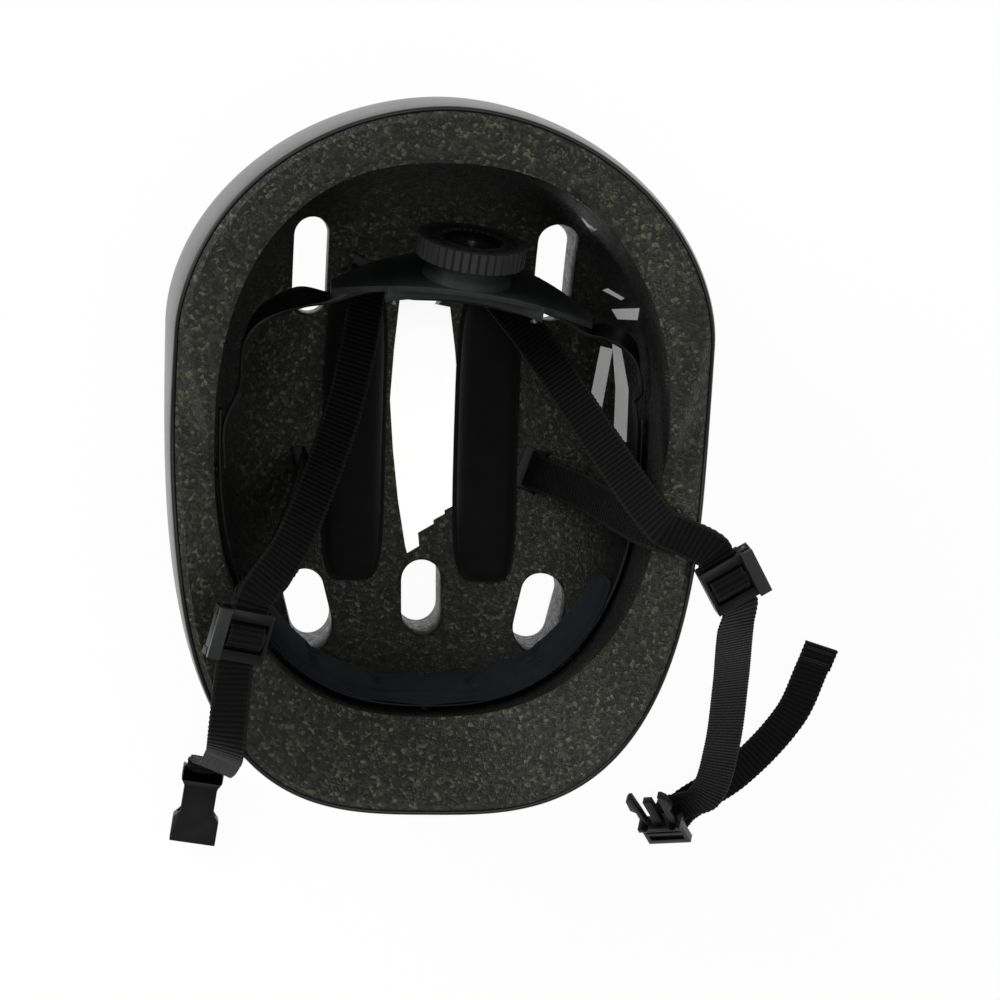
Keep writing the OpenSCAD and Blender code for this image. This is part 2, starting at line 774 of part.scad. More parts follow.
module rear_strap_left() {
  a = anchor_at(-1, true);
  b = slider_left_at;
  leg([
    [mix(a, b, 0.25) + [8, 8, 0], unit([0.93, -0.36, 0])],
    [mix(a, b, 0.5) + [12, 9, -3], unit([0.9, -0.42, 0])],
    [mix(a, b, 0.78) + [8, 5, 6.5], unit([0.85, -0.5, 0])]
  ], false, true);
}
module front_strap_left() {
  a = anchor_at(-1, false);
  b = slider_left_at;
  leg([
    [mix(a, b, 0.35) + [5, 2, -6], unit([0.6, -0.8, 0])],
    [mix(a, b, 0.7) + [5, 4, -5], unit([0.8, -0.6, 0])]
  ], false, false);
}

// Slider: a frame with a middle bar, and ears for the lever on one side
module slider(right) {
  side = right ? 1 : -1;
  bar = 4;
  window = (slider_l - 3 * bar) / 2;
  color("#151517")
    slider_place(right)
      difference() {
        union() {
          translate([-slider_w / 2, -slider_l / 2, -slider_t / 2])
            cube([slider_w, slider_l, slider_t]);
          for (e = [-1, 1])
            translate([side * (slider_w / 2 + ear_w / 2 - 0.5), e * (slider_l / 2 - 1.5), 0])
              cube([ear_w, 3, 5], center = true);
        }
        translate([-web_w / 2 - 0.5, -slider_l, -webs - 0.2])
          cube([web_w + 1, 2 * slider_l, 2 * webs + 0.4]);
        for (y = [-1, 1])
          translate([-web_w / 2 - 0.5, y * (window + bar) / 2 - window / 2, 0])
            cube([web_w + 1, window, slider_t]);
        lever_axis(right) {
          cylinder(d = pin_d, h = 60, center = true, $fn = fine);
          cylinder(d = lever_d + 2 * fit_gap, h = slider_l - 6, center = true, $fn = fine);
        }
      }
}
lever_d = 4;
lever_out = 2;
ear_w = lever_out + lever_d / 2 + 0.5;
// Local Z along the lever's hinge pin
module lever_axis(right) {
  translate([(right ? 1 : -1) * (slider_w / 2 + lever_out), 0, 0])
    rotate([90, 0, 0])
      children();
}
module slider_lever(right) {
  side = right ? 1 : -1;
  inner = slider_l - 6 - 2 * fit_gap;
  color("#232427")
    slider_place(right)
      difference() {
        union() {
          lever_axis(right)
            cylinder(d = lever_d, h = inner, center = true, $fn = fine);
          translate([side * (slider_w / 2 + lever_out + 0.4) - 1.5, -inner / 2, 0])
            cube([3, inner, slider_t / 2 + 1]);
          translate([side * (slider_w / 2 + lever_out - 0.5) - 2.5, -slider_l / 2, slider_t / 2 + fit_gap])
            cube([5, slider_l, 2]);
        }
        lever_axis(right)
          cylinder(d = pin_d + 0.2, h = 60, center = true, $fn = fine);
      }
}
module lever_pin(right) {
  color("#9a9da0")
    slider_place(right)
      lever_axis(right)
        cylinder(d = pin_d, h = slider_l, center = true, $fn = fine);
}
module slider_left() {
  slider(false);
}
module slider_right() {
  slider(true);
}
module slider_lever_left() {
  slider_lever(false);
}
module slider_lever_right() {
  slider_lever(true);
}
module lever_pin_left() {
  lever_pin(false);
}
module lever_pin_right() {
  lever_pin(true);
}

// Buckle socket, lying on the surface with its mouth to the front
socket_at = [16.3 - shell_w / 2, -half_l - 25, buckle_t / 2];
socket_turn = -8;
socket_side = [cos(socket_turn), sin(socket_turn), 0];
socket_bar_t = 4;
function socket_pt(p) = socket_at + lean_turn(p, 0, socket_turn);
module socket_place() {
  translate(socket_at)
    rotate([0, 0, socket_turn])
      children();
}
module buckle_socket() {
  half_b = buckle_w / 2;
  inner_w = buckle_w - 3.4;
  inner_t = buckle_t - 3;
  neck = 6;
  color("#121214")
    socket_place()
      difference() {
        union() {
          translate([0, -socket_l / 2, 0])
            body_block([[-half_b, 0], [half_b, 0], [half_b, 11], [half_b - 2.8, 14], [half_b - 2.8, socket_l - 9],
                        [half_b - 1, socket_l - 6], [half_b - 1, socket_l], [-half_b + 1, socket_l],
                        [-half_b + 1, socket_l - 6], [-half_b + 2.8, socket_l - 9], [-half_b + 2.8, 14],
                        [-half_b, 11]], buckle_t);
        }
        // Mouth and the space that the prongs spring open in
        translate([-inner_w / 2, -socket_l / 2 - 1, -inner_t / 2])
          cube([inner_w, socket_l - neck - 3, inner_t]);
        // Side windows for the prong tips
        translate([-buckle_w, -socket_l / 2 + 13, -inner_t / 2])
          cube([2 * buckle_w, 9, inner_t]);
        // Slot for the webbing behind the neck bar, which is thinner than the body
        translate([-web_w / 2 - 0.5, socket_l / 2 - neck, -buckle_t])
          cube([web_w + 1, 3.8, 2 * buckle_t]);
        for (z = [socket_bar_t / 2, -socket_bar_t / 2 - buckle_t])
          translate([-web_w / 2 - 0.5, socket_l / 2 - neck, z])
            cube([web_w + 1, neck + 1, buckle_t]);
      }
}
// Plate cut to an outline in plan, centred on its thickness
module body_block(outline, t) {
  translate([0, 0, -t / 2])
    linear_extrude(t)
      polygon(outline);
}

// Buckle plug, propped on its webbing with the prongs up
plug_lift = 32;
plug_turn = 33;
plug_roll = -36;
plug_at = [shell_w / 2 + 6.4, -half_l - 28.9, 14.9];
function plug_pt(p) = plug_at + lean_turn(roll_y(p, plug_roll), plug_lift, plug_turn);
function plug_dir(p) = plug_pt(p) - plug_at;
plug_base_l = 15;
plug_slot = 3.4;
plug_slot_y = 2.8 - plug_base_l;
bar_edge = plug_slot_y + plug_slot + 2;
arm_l = 20;
plug_inner_w = buckle_w - 4;
plug_plate_t = buckle_t - 4.6;
arm_root_r = 1.5;
arm_x = plug_inner_w / 2 - arm_root_r;
arm_gap = 0.08;
module plug_place() {
  translate(plug_at)
    rotate([0, 0, plug_turn])
      rotate([plug_lift, 0, 0])
        rotate([0, plug_roll, 0])
          children();
}
module buckle_plug() {
  half_b = buckle_w / 2;
  color("#17181a")
    plug_place()
      difference() {
        union() {
          translate([-half_b, -plug_base_l, -plug_plate_t / 2])
            cube([buckle_w, plug_base_l, plug_plate_t]);
          translate([-half_b, -2.5, -buckle_t / 2])
            cube([buckle_w, 2.5, buckle_t]);
          translate([-2, -0.5, -plug_plate_t / 2 + 0.3])
            cube([4, arm_l - 3, plug_plate_t - 0.6]);
        }
        for (y = [plug_slot_y, bar_edge])
          translate([-web_w / 2 - 0.5, y, -buckle_t])
            cube([web_w + 1, plug_slot, 2 * buckle_t]);
        for (s = [-1, 1])
          translate([s * arm_x, 0, 0])
            cylinder(r = arm_root_r + arm_gap, h = 20, center = true, $fn = fine);
      }
}
// Springy arm of the plug, which bends at its round root
module plug_arm(side) {
  color("#17181a")
    plug_place()
      translate([side * arm_x, 0, -plug_plate_t / 2 + 0.2])
        linear_extrude(plug_plate_t - 0.4)
          scale([side, 1])
            union() {
              circle(arm_root_r, $fn = fine);
              polygon([[-1.1, 0], [1.3, 0], [1.3, 9], [3.4, 11], [2.9, arm_l - 2], [1.2, arm_l], [-0.4, arm_l], [-0.9, 9]]);
            }
}
module plug_arm_left() {
  plug_arm(-1);
}
module plug_arm_right() {
  plug_arm(1);
}

// Chin strap on the socket's side: from the slider over the rim and down to the socket
module chin_strap_left() {
  start = slider_pt(false, [0, strap_in - slider_l / 2, 0]);
  edge = rim_top(cross_left, 2.2, 2);
  low = socket_pt([0, socket_l / 2, 0]);
  bar_top = socket_bar_t / 2 + web_t / 2 + fit_gap;
  color("#101011")
    ribbon([
      [start, slider_dir(false, [1, 0, 0])],
      [slider_pt(false, [0, -slider_l / 2 - 3, 0]), slider_dir(false, [1, 0, 0])],
      [edge, unit([0.92, -0.38, 0])],
      [edge + [-1, -11, -24], unit([0.9, -0.43, 0])],
      [mix(edge, low, 0.5) + [0.5, -7, -7], unit([0.9, -0.43, 0])],
      [mix(edge, low, 0.8) + [0.5, -3, -6], unit([0.95, -0.3, 0])],
      [socket_pt([0, socket_l / 2 + 3, bar_top]), socket_side],
      [socket_pt([0, socket_l / 2 - 1.9, bar_top]), socket_side],
      [socket_pt([0, socket_l / 2 - 3.1, bar_top - 0.7]), socket_side],
      [socket_pt([0, socket_l / 2 - 3.5, 0.3]), socket_side]
    ], web_w, web_t, 5);
}
// Chin strap on the plug's side: from the slider down to the plug
module chin_strap_right() {
  start = slider_pt(true, [0, strap_in - slider_l / 2, 0]);
  end_pt = plug_pt([0, -plug_base_l, 0]);
  color("#101011")
    ribbon([
      [start, slider_dir(true, [1, 0, 0])],
      [slider_pt(true, [0, -slider_l / 2 - 3, -0.6]), slider_dir(true, [1, 0, 0])],
      [start + [2, -13, -11], unit([0.98, 0.2, -0.05])],
      [mix(start, end_pt, 0.3) + [8.5, -4, -11], unit([0.98, 0.1, 0])],
      [mix(start, end_pt, 0.6) + [13, -2, -10], unit([0.96, -0.2, 0])],
      [mix(start, end_pt, 0.85) + [11, 4, -3], unit([0.88, -0.45, 0.1])],
      [plug_pt([4, -2, -7.5]), mix(plug_dir([1, 0, 0]), [0.88, -0.45, 0.1], 0.4)],
      [plug_pt([1, bar_edge + 1.6, -4.4]), plug_dir([1, 0, 0])],
      [plug_pt([0, bar_edge + 1.7, -1.5]), plug_dir([1, 0, 0])],
      [plug_pt([0, bar_edge + 1.7, 0.8]), plug_dir([1, 0, 0])]
    ], web_w, web_t, 6);
}
// Free end of the webbing beyond the plug
tail_tip = plug_at + [69.5, 79.9, -0.9];
tail_way = unit([0.3, 0.95, 0.15]);
tail_side = unit([0.95, -0.3, 0]);
module strap_tail() {
  slot_mid = plug_slot_y + plug_slot / 2;
  start = plug_pt([0, slot_mid, 0.8]);
  color("#101011")
    ribbon([
      [start, plug_dir([1, 0, 0])],
      [plug_pt([0, slot_mid, -3]), plug_dir([1, 0, 0])],
      [plug_pt([1.6, slot_mid + 0.6, -7.5]), unit(mix(plug_dir([1, 0, 0]), [0.8, -0.5, 0.3], 0.35))],
      [plug_pt([7, slot_mid + 3.4, -12.5]), unit([0.76, -0.6, 0.25])],
      [mix(start, tail_tip, 0.4) + [6, -6, -5.6], unit([0.7, -0.71, 0])],
      [mix(start, tail_tip, 0.7) + [8, -7, -5], unit([0.8, -0.6, 0])],
      [tail_tip - tail_way * 10, tail_side],
      [tail_tip, tail_side]
    ], web_w, web_t, 6);
}
// Stitched fold at the end of the tail that stops it slipping out
module tail_fold() {
  over = [0, 0, web_t + 0.1];
  color("#101011")
    ribbon([
      [tail_tip - tail_way * 10 + over, tail_side],
      [tail_tip - tail_way * 4 + over, tail_side],
      [tail_tip + over, tail_side]
    ], web_w + 1.5, web_t, 3);
}

outer_shell();
eps_liner();
crown_pad_left();
crown_pad_right();
brow_pad();
front_ring_band();
ring_anchors();
ring_arm_left();
ring_arm_right();
nape_yoke();
nape_pad();
dial_base();
rack_cover();
cover_screws();
rack_left();
rack_right();
pinion();
size_dial();
dial_screw();
detent_spring();
strap_anchors_front();
strap_anchors_rear();
rear_strap_left();
rear_strap_right();
front_strap_left();
front_strap_right();
slider_left();
slider_right();
slider_lever_left();
slider_lever_right();
lever_pin_left();
lever_pin_right();
chin_strap_left();
chin_strap_right();
strap_tail();
tail_fold();
buckle_socket();
buckle_plug();
plug_arm_left();
plug_arm_right();
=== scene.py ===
"""Half-shell sports helmet on its crown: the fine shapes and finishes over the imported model.
Lengths in the shape rules are millimetres, as in the model's source; meshes are in metres."""
import math
import bpy
import bmesh
import numpy as np
from mathutils import Vector, Matrix
from mathutils.bvhtree import BVHTree


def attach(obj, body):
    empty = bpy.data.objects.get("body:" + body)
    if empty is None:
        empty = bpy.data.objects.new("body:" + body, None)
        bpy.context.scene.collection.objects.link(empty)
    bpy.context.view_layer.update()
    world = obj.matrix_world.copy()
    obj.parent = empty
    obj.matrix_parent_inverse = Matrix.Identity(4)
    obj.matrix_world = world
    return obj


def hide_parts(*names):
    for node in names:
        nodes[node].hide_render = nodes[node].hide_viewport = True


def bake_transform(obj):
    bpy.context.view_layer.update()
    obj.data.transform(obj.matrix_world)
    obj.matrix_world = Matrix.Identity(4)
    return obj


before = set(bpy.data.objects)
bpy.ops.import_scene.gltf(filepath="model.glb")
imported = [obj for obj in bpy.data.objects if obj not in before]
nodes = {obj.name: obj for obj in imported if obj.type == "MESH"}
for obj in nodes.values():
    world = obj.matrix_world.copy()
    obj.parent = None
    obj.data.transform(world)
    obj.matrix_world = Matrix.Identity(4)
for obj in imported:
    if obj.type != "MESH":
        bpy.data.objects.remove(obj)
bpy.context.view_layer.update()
MM = 0.001

# Shape rules of the helmet
shell_w, shell_l, wide_h, rim_h, rim_rise, rim_sag, ear_arch, shell_t = 213.6, 283, 102, 143, 11, 6, 6, 2
cavity_w, cavity_front, cavity_rear, brow_bevel, liner_t = 174, 104.8, 115.8, 20, 28
plan_front_n, plan_rear_n, cavity_front_n, cavity_rear_n, dome_n = 3.04, 1.9, 2.45, 2.35, 2.25
shell_wide_y, cavity_wide_y, half_l, wide_share, crown_angle = 51, 10, shell_l / 2, 0.75, 5.5
ear_y, ear_reach, yoke_rise, yoke_rise_y, yoke_rise_reach = 8, 34, 5, 72, 30
tuck, tuck_h, liner_lip, liner_edge = 4.2, 45, 1.5, 2.5
cavity_floor, cavity_wide_h = shell_t + liner_t, wide_h - 12
pad_w, pad_l, pad_t, pad_mid_y, pad_x, fit_gap = 27, 124, 8, 2, 28, 0.3
brow_pad_t, brow_pad_h, band_h, band_t, band_inset = 6, 30, 12, 1.2, 1.6
cradle_at, cradle_lean, cradle_turn = np.array([11.2, 73.4, 100.6]), 14.5, -6
yoke_r, yoke_t, yoke_slope, channel_h, cover_w, cover_t, rack_t, tab_t = 118, 2.2, 0.12, 24, 62, 1.6, 2, 0.8
rack_r = yoke_r - yoke_t - yoke_slope * channel_h / 2 - fit_gap
cover_r = rack_r - rack_t - fit_gap
web_w, web_t = 15, 1.2
slider_l, slider_t = 20, 7
buckle_t, socket_l = 8.4, 34


def cosd(a):
    return math.cos(math.radians(a))


def sind(a):
    return math.sin(math.radians(a))


def vec(*v):
    return np.array(v, float)


def unit(v):
    v = np.asarray(v, float)
    return v / np.linalg.norm(v)


def mix(a, b, k):
    return a + (b - a) * k


def spow(v, e):
    return math.copysign(abs(v) ** e, v)


def plan(t, half_w, front, rear, wide_y, nf, nr):
    n, reach = (nr, rear - wide_y) if sind(t) >= 0 else (nf, front + wide_y)
    return half_w * spow(cosd(t), 2 / n), wide_y + reach * spow(sind(t), 2 / n)


def shell_plan(t):
    return plan(t, shell_w / 2, half_l, half_l, shell_wide_y, plan_front_n, plan_rear_n)


def cavity_plan(t):
    return plan(t, cavity_w / 2, cavity_front, cavity_rear, cavity_wide_y, cavity_front_n, cavity_rear_n)


def rim_z(y):
    u = y / half_l
    return (rim_h + rim_rise * u - rim_sag * u * u - ear_arch * math.exp(-(((y - ear_y) / ear_reach) ** 2))
            + yoke_rise * math.exp(-(((y - yoke_rise_y) / yoke_rise_reach) ** 2)))


def shell_pt(t, s, inset):
    x, y = shell_plan(t)
    r = math.hypot(x, y)
    k = (r - inset) / r
    a = mix(crown_angle, 90, min(s / wide_share, 1))
    c0 = cosd(crown_angle) ** (2 / dome_n)
    low = inset + (wide_h - inset) * (c0 - max(cosd(a), 0) ** (2 / dome_n)) / c0
    over = max(s - wide_share, 0) / (1 - wide_share) * (rim_z(y) - wide_h)
    f = sind(a) ** (2 / dome_n) * (1 - tuck * (over / tuck_h) ** 2 / r)
    return vec(x * k * f, y * k * f, low + over)


def inner_rim_z(t):
    return rim_z(shell_plan(t)[1]) - 3 - (brow_bevel - 3) * max(-sind(t), 0) ** 2


def cavity_share(z):
    h = (z - cavity_floor) / (cavity_wide_h - cavity_floor)
    return 1 if h >= 1 else (1 - (1 - max(h, 0)) ** dome_n) ** (1 / dome_n)


def wall_pt(t, z, inset=0):
    x, y = cavity_plan(t)
    y -= cavity_wide_y
    f = cavity_share(z)
    r = math.hypot(x, y) * f
    k = f * (r - inset) / max(r, 1)
    return vec(x * k, cavity_wide_y + y * k, z)


def floor_z(x, y):
    n, l = ((cavity_rear_n, cavity_rear - cavity_wide_y) if y >= cavity_wide_y
            else (cavity_front_n, cavity_front + cavity_wide_y))
    f = (abs(x * 2 / cavity_w) ** n + abs((y - cavity_wide_y) / l) ** n) ** (1 / n)
    return cavity_floor + (cavity_wide_h - cavity_floor) * (1 - max(1 - f ** dome_n, 0) ** (1 / dome_n))


def cavity_pt(t, s):
    a = 90 * min(s / wide_share, 1)
    low = cavity_floor + (cavity_wide_h - cavity_floor) * (1 - max(cosd(a), 0) ** (2 / dome_n))
    return wall_pt(t, low + max(s - wide_share, 0) / (1 - wide_share) * (inner_rim_z(t) - cavity_wide_h))


def lean_turn(p, a, b):
    y, z = p[1] * cosd(a) - p[2] * sind(a), p[1] * sind(a) + p[2] * cosd(a)
    return vec(p[0] * cosd(b) - y * sind(b), p[0] * sind(b) + y * cosd(b), z)


def roll_y(p, a):
    return vec(p[0] * cosd(a) + p[2] * sind(a), p[1], -p[0] * sind(a) + p[2] * cosd(a))


def cradle_pt(p):
    return cradle_at + lean_turn(p, cradle_lean, cradle_turn)


def rim_top(t, out, up):
    p = shell_pt(t, 1, 0)
    return p + unit([p[0], p[1], 0]) * out + vec(0, 0, liner_lip + up)


cross_right, cross_left = 343, 230
anchor_rear, anchor_front, rear_turn, front_turn = (24, 69), (47, -12), 25, 72
slider_pose = {
    True: (rim_top(cross_right - 1.3, 14.2, -2.6), 31, -15, 0),
    False: (vec(-74.5, -65.5, rim_z(-65) + liner_lip + slider_t / 2 + 2), -14, -3, 16),
}
plug_at, plug_lift, plug_turn, plug_roll = vec(113.2, -170.4, 14.9), 32, 33, -36
plug_base_l, plug_slot = 15, 3.4
plug_slot_y = 2.8 - plug_base_l
bar_edge = plug_slot_y + plug_slot + 2
socket_at, socket_turn, socket_bar_t = vec(-90.5, -166.5, buckle_t / 2), -8, 4
socket_side = vec(cosd(socket_turn), sind(socket_turn), 0)
tail_tip, tail_way, tail_side = vec(182.7, -90.5, 14), unit([0.3, 0.95, 0.15]), unit([0.95, -0.3, 0])
stack = web_t + 0.3
layer, leg_in, strap_in = stack / 2 + 0.1, 5, 0.4


def anchor_at(side, rear):
    x, y = anchor_rear if rear else anchor_front
    return vec(side * x, y, floor_z(x, y))


def slider_pt(right, p):
    at, turn, tip, roll = slider_pose[right]
    return at + lean_turn(roll_y(p, roll), -tip, turn)


def slider_side(right):
    return slider_pt(right, (1, 0, 0)) - slider_pt(right, (0, 0, 0))


def plug_pt(p):
    return plug_at + lean_turn(roll_y(p, plug_roll), plug_lift, plug_turn)


def socket_pt(p):
    return socket_at + lean_turn(p, 0, socket_turn)


def leg(rows, right, rear):
    side = 1 if right else -1
    a = anchor_at(side, rear)
    way = side * (rear_turn if rear else front_turn)
    up, x = (1 if rear else -1), slider_side(right)
    return ([(a + vec(0, 0, z), vec(cosd(way), sind(way), 0)) for z in (-6.5, -1, 5)] + rows
            + [(slider_pt(right, (0, slider_l / 2 + y, (layer + 0.15 * max(y, 0)) * up)), x)
               for y in (leg_in, 2, -2)])


edge_right = rim_top(cross_right + 3, -17, 2)
over_right = mix(edge_right, slider_pt(True, (0, slider_l / 2 + leg_in, 0)), 0.5) + vec(0, 0, 0.6)
stack_up = vec(0, 0, stack + 0.6)


def strap_routes():
    """Control rows of every strap: places, and the directions of the webbing's width."""
    routes = {}
    a, b = anchor_at(1, True), edge_right + stack_up
    routes["rear_strap_right"] = leg([
        (mix(a, b, 0.3) + vec(0, 3, 0), (0.75, 0.66, 0)), (mix(a, b, 0.7), (0.7, 0.71, 0)),
        (b, (0.68, 0.73, 0)), (over_right + stack_up, (0.72, 0.69, 0.1))], True, True)
    a, b = anchor_at(1, False), edge_right + vec(-1, -3, 0)
    routes["front_strap_right"] = leg([
        (mix(a, b, 0.4) + vec(0, 1, -4), (0.1, 0.99, 0)), (mix(a, b, 0.8) + vec(-1, 0, -1), (0.3, 0.95, 0)),
        (b, (0.5, 0.86, 0)), (over_right, (0.66, 0.75, 0.1))], True, False)
    a, b = anchor_at(-1, True), slider_pose[False][0]
    routes["rear_strap_left"] = leg([
        (mix(a, b, 0.25) + vec(8, 8, 0), (0.93, -0.36, 0)),
        (mix(a, b, 0.5) + vec(12, 9, -3), (0.9, -0.42, 0)),
        (mix(a, b, 0.78) + vec(8, 5, 6.5), (0.85, -0.5, 0))], False, True)
    a = anchor_at(-1, False)
    routes["front_strap_left"] = leg([
        (mix(a, b, 0.35) + vec(5, 2, -6), (0.6, -0.8, 0)), (mix(a, b, 0.7) + vec(5, 4, -5), (0.8, -0.6, 0))],
        False, False)
    x, start = slider_side(False), slider_pt(False, (0, strap_in - slider_l / 2, 0))
    edge, low = rim_top(cross_left, 2.2, 2), socket_pt((0, socket_l / 2, 0))
    bar_top = socket_bar_t / 2 + web_t / 2 + fit_gap
    routes["chin_strap_left"] = [
        (start, x), (slider_pt(False, (0, -slider_l / 2 - 3, 0)), x),
        (edge, (0.92, -0.38, 0)), (edge + vec(-1, -11, -24), (0.9, -0.43, 0)),
        (mix(edge, low, 0.5) + vec(0.5, -7, -7), (0.9, -0.43, 0)),
        (mix(edge, low, 0.8) + vec(0.5, -3, -6), (0.95, -0.3, 0)),
        (socket_pt((0, socket_l / 2 + 3, bar_top)), socket_side),
        (socket_pt((0, socket_l / 2 - 1.9, bar_top)), socket_side),
        (socket_pt((0, socket_l / 2 - 3.1, bar_top - 0.7)), socket_side),
        (socket_pt((0, socket_l / 2 - 3.5, 0.3)), socket_side)]
    start, end = slider_pt(True, (0, strap_in - slider_l / 2, 0)), plug_pt((0, -plug_base_l, 0))
    x, px = slider_side(True), plug_pt((1, 0, 0)) - plug_at
    routes["chin_strap_right"] = [
        (start, x), (slider_pt(True, (0, -slider_l / 2 - 3, -0.6)), x),
        (start + vec(2, -13, -11), (0.98, 0.2, -0.05)),
        (mix(start, end, 0.3) + vec(8.5, -4, -11), (0.98, 0.1, 0)),
        (mix(start, end, 0.6) + vec(13, -2, -10), (0.96, -0.2, 0)),
        (mix(start, end, 0.85) + vec(11, 4, -3), (0.88, -0.45, 0.1)),
        (plug_pt((4, -2, -7.5)), mix(px, vec(0.88, -0.45, 0.1), 0.4)),
        (plug_pt((1, bar_edge + 1.6, -4.4)), px), (plug_pt((0, bar_edge + 1.7, -1.5)), px),
        (plug_pt((0, bar_edge + 1.7, 0.8)), px)]
    mid = plug_slot_y + plug_slot / 2
    start = plug_pt((0, mid, 0.8))
    routes["strap_tail"] = [
        (start, px), (plug_pt((0, mid, -3)), px),
        (plug_pt((1.6, mid + 0.6, -7.5)), mix(px, vec(0.8, -0.5, 0.3), 0.35)),
        (plug_pt((7, mid + 3.4, -12.5)), (0.76, -0.6, 0.25)),
        (mix(start, tail_tip, 0.4) + vec(6, -6, -5.6), (0.7, -0.71, 0)),
        (mix(start, tail_tip, 0.7) + vec(8, -7, -5), (0.8, -0.6, 0)), (tail_tip - tail_way * 10, tail_side),
        (tail_tip, tail_side)]
    over = vec(0, 0, web_t + 0.1)
    routes["tail_fold"] = [(tail_tip - tail_way * d + over, tail_side) for d in (10, 4, 0)]
    return routes


def bend(a, b, way_a, way_b, k):
    return (a * (2 * k ** 3 - 3 * k * k + 1) + b * (3 * k * k - 2 * k ** 3)
            + (way_a * (k ** 3 - 2 * k * k + k) + way_b * (k ** 3 - k * k)) * np.linalg.norm(b - a))


def follow(rows, step):
    """Smooth path through the rows, sampled about every step: places, width directions, face directions."""
    rows = [(np.asarray(p, float), np.asarray(s, float)) for p, s in rows]
    m, places, sides = len(rows), [], []
    for j in range(m - 1):
        a, b = rows[j][0], rows[j + 1][0]
        way_a, way_b = unit(b - rows[max(j - 1, 0)][0]), unit(rows[min(j + 2, m - 1)][0] - a)
        count = max(3, int(np.linalg.norm(b - a) / step))
        for i in range(count + (j == m - 2)):
            k = i / count
            places.append(bend(a, b, way_a, way_b, k))
            sides.append(mix(rows[j][1], rows[j + 1][1], k))
    reach = max(int(4 / step), 1)
    path = []
    for i, p in enumerate(places):
        way = unit(places[min(i + reach, len(places) - 1)] - places[max(i - reach, 0)])
        side = unit(sides[i] - way * np.dot(sides[i], way))
        path.append((p, side, np.cross(way, side)))
    return path


def into_scene(name, data):
    obj = bpy.data.objects.new(name, data)
    bpy.context.scene.collection.objects.link(obj)
    return obj


# Camera
# The photograph's viewing direction, its roll and its distance, worked out from the helmet's outline
yaw, pitch, roll, distance, focal_px = 6.442, 7.273, 1.939, 1000, 2610.06
photo_px, sensor_mm = 1000, 36
aim = vec(22.258, -11.447, 145)
back = vec(-sind(yaw), sind(pitch), 0)
back[2] = math.sqrt(1 - back[0] ** 2 - back[1] ** 2)
across = unit(np.cross((0, 1, 0), back))
above = np.cross(back, across)
cam_x = across * cosd(roll) + above * sind(roll)
cam_y = above * cosd(roll) - across * sind(roll)
eye = aim + back * distance
camera = into_scene("camera", bpy.data.cameras.new("camera"))
camera.data.sensor_width = sensor_mm
camera.data.lens = sensor_mm * focal_px / photo_px
camera.data.clip_start, camera.data.clip_end = 0.01, 10
camera.matrix_world = Matrix([[cam_x[i], cam_y[i], back[i], eye[i] * MM] for i in range(3)] + [[0, 0, 0, 1]])
bpy.context.scene.camera = camera


def sight(px, py):
    """Direction of the line of sight through this pixel of the photograph."""
    return unit((cam_x * (px - photo_px / 2) - cam_y * (py - photo_px / 2)) / focal_px - back)


def on_liner(px, py):
    """The place on the liner's inner face that shows at this pixel of the photograph."""
    ray, z, highest, rounds = sight(px, py), 40, 130, 40
    for _ in range(rounds):
        p = eye + ray * (z - eye[2]) / ray[2]
        z = 0.5 * z + 0.5 * min(floor_z(p[0], p[1]), highest)
    return p


def liner_normal(p):
    d = 0.5
    gx = (floor_z(p[0] + d, p[1]) - floor_z(p[0] - d, p[1])) / (2 * d)
    gy = (floor_z(p[0], p[1] + d) - floor_z(p[0], p[1] - d)) / (2 * d)
    return unit([-gx, -gy, 1])


# Mesh tools
def mesh_object(name, points, faces, smooth_angle=35, weave=None):
    """Mesh from millimetre points, put into the scene, with creases kept above the angle."""
    mesh = bpy.data.meshes.new(name)
    mesh.from_pydata([tuple(float(c) * MM for c in p) for p in points], [], faces)
    if weave is not None:
        attribute = mesh.attributes.new("weave", "FLOAT_VECTOR", "POINT")
        attribute.data.foreach_set("vector", np.asarray(weave, np.float32).ravel())
    mesh.validate()
    obj = into_scene(name, mesh)
    tidy(obj, smooth_angle)
    return obj


def tidy(obj, smooth_angle=35):
    bm = bmesh.new()
    bm.from_mesh(obj.data)
    bmesh.ops.remove_doubles(bm, verts=bm.verts, dist=2e-6)
    bmesh.ops.recalc_face_normals(bm, faces=bm.faces)
    bm.to_mesh(obj.data)
    bm.free()
    shade(obj, smooth_angle)


def shade(obj, angle=35):
    obj.data.polygons.foreach_set("use_smooth", [True] * len(obj.data.polygons))
    obj.data.set_sharp_from_angle(angle=math.radians(angle))
    obj.data.update()


def rings(name, loops, bridged=False, smooth_angle=35, weave=None):
    """Closed skin over loops of points. Both ends are one flat face each, or strips across the loop where
    bridged, which suits a loop that isn't flat."""
    n, m = len(loops[0]), len(loops)
    faces = []
    for j in range(m - 1):
        k = j + 1
        faces += [(j * n + i, k * n + i, k * n + (i + 1) % n, j * n + (i + 1) % n) for i in range(n)]
    for start in (0, (m - 1) * n):
        if bridged:
            quarter = n // 4
            for i in range(quarter, quarter + n // 2):
                far, near = (n // 2 - i) % n, (n // 2 - i - 1) % n
                faces.append(tuple(dict.fromkeys((start + i, start + i + 1, start + near, start + far))))
        else:
            faces.append(tuple(range(start, start + n)))
    return mesh_object(name, [p for loop in loops for p in loop], faces, smooth_angle, weave)


def apply_modifiers(obj):
    bpy.context.view_layer.update()
    evaluated = obj.evaluated_get(bpy.context.evaluated_depsgraph_get())
    mesh = bpy.data.meshes.new_from_object(evaluated)
    obj.modifiers.clear()
    old, obj.data = obj.data, mesh
    bpy.data.meshes.remove(old)
    return obj


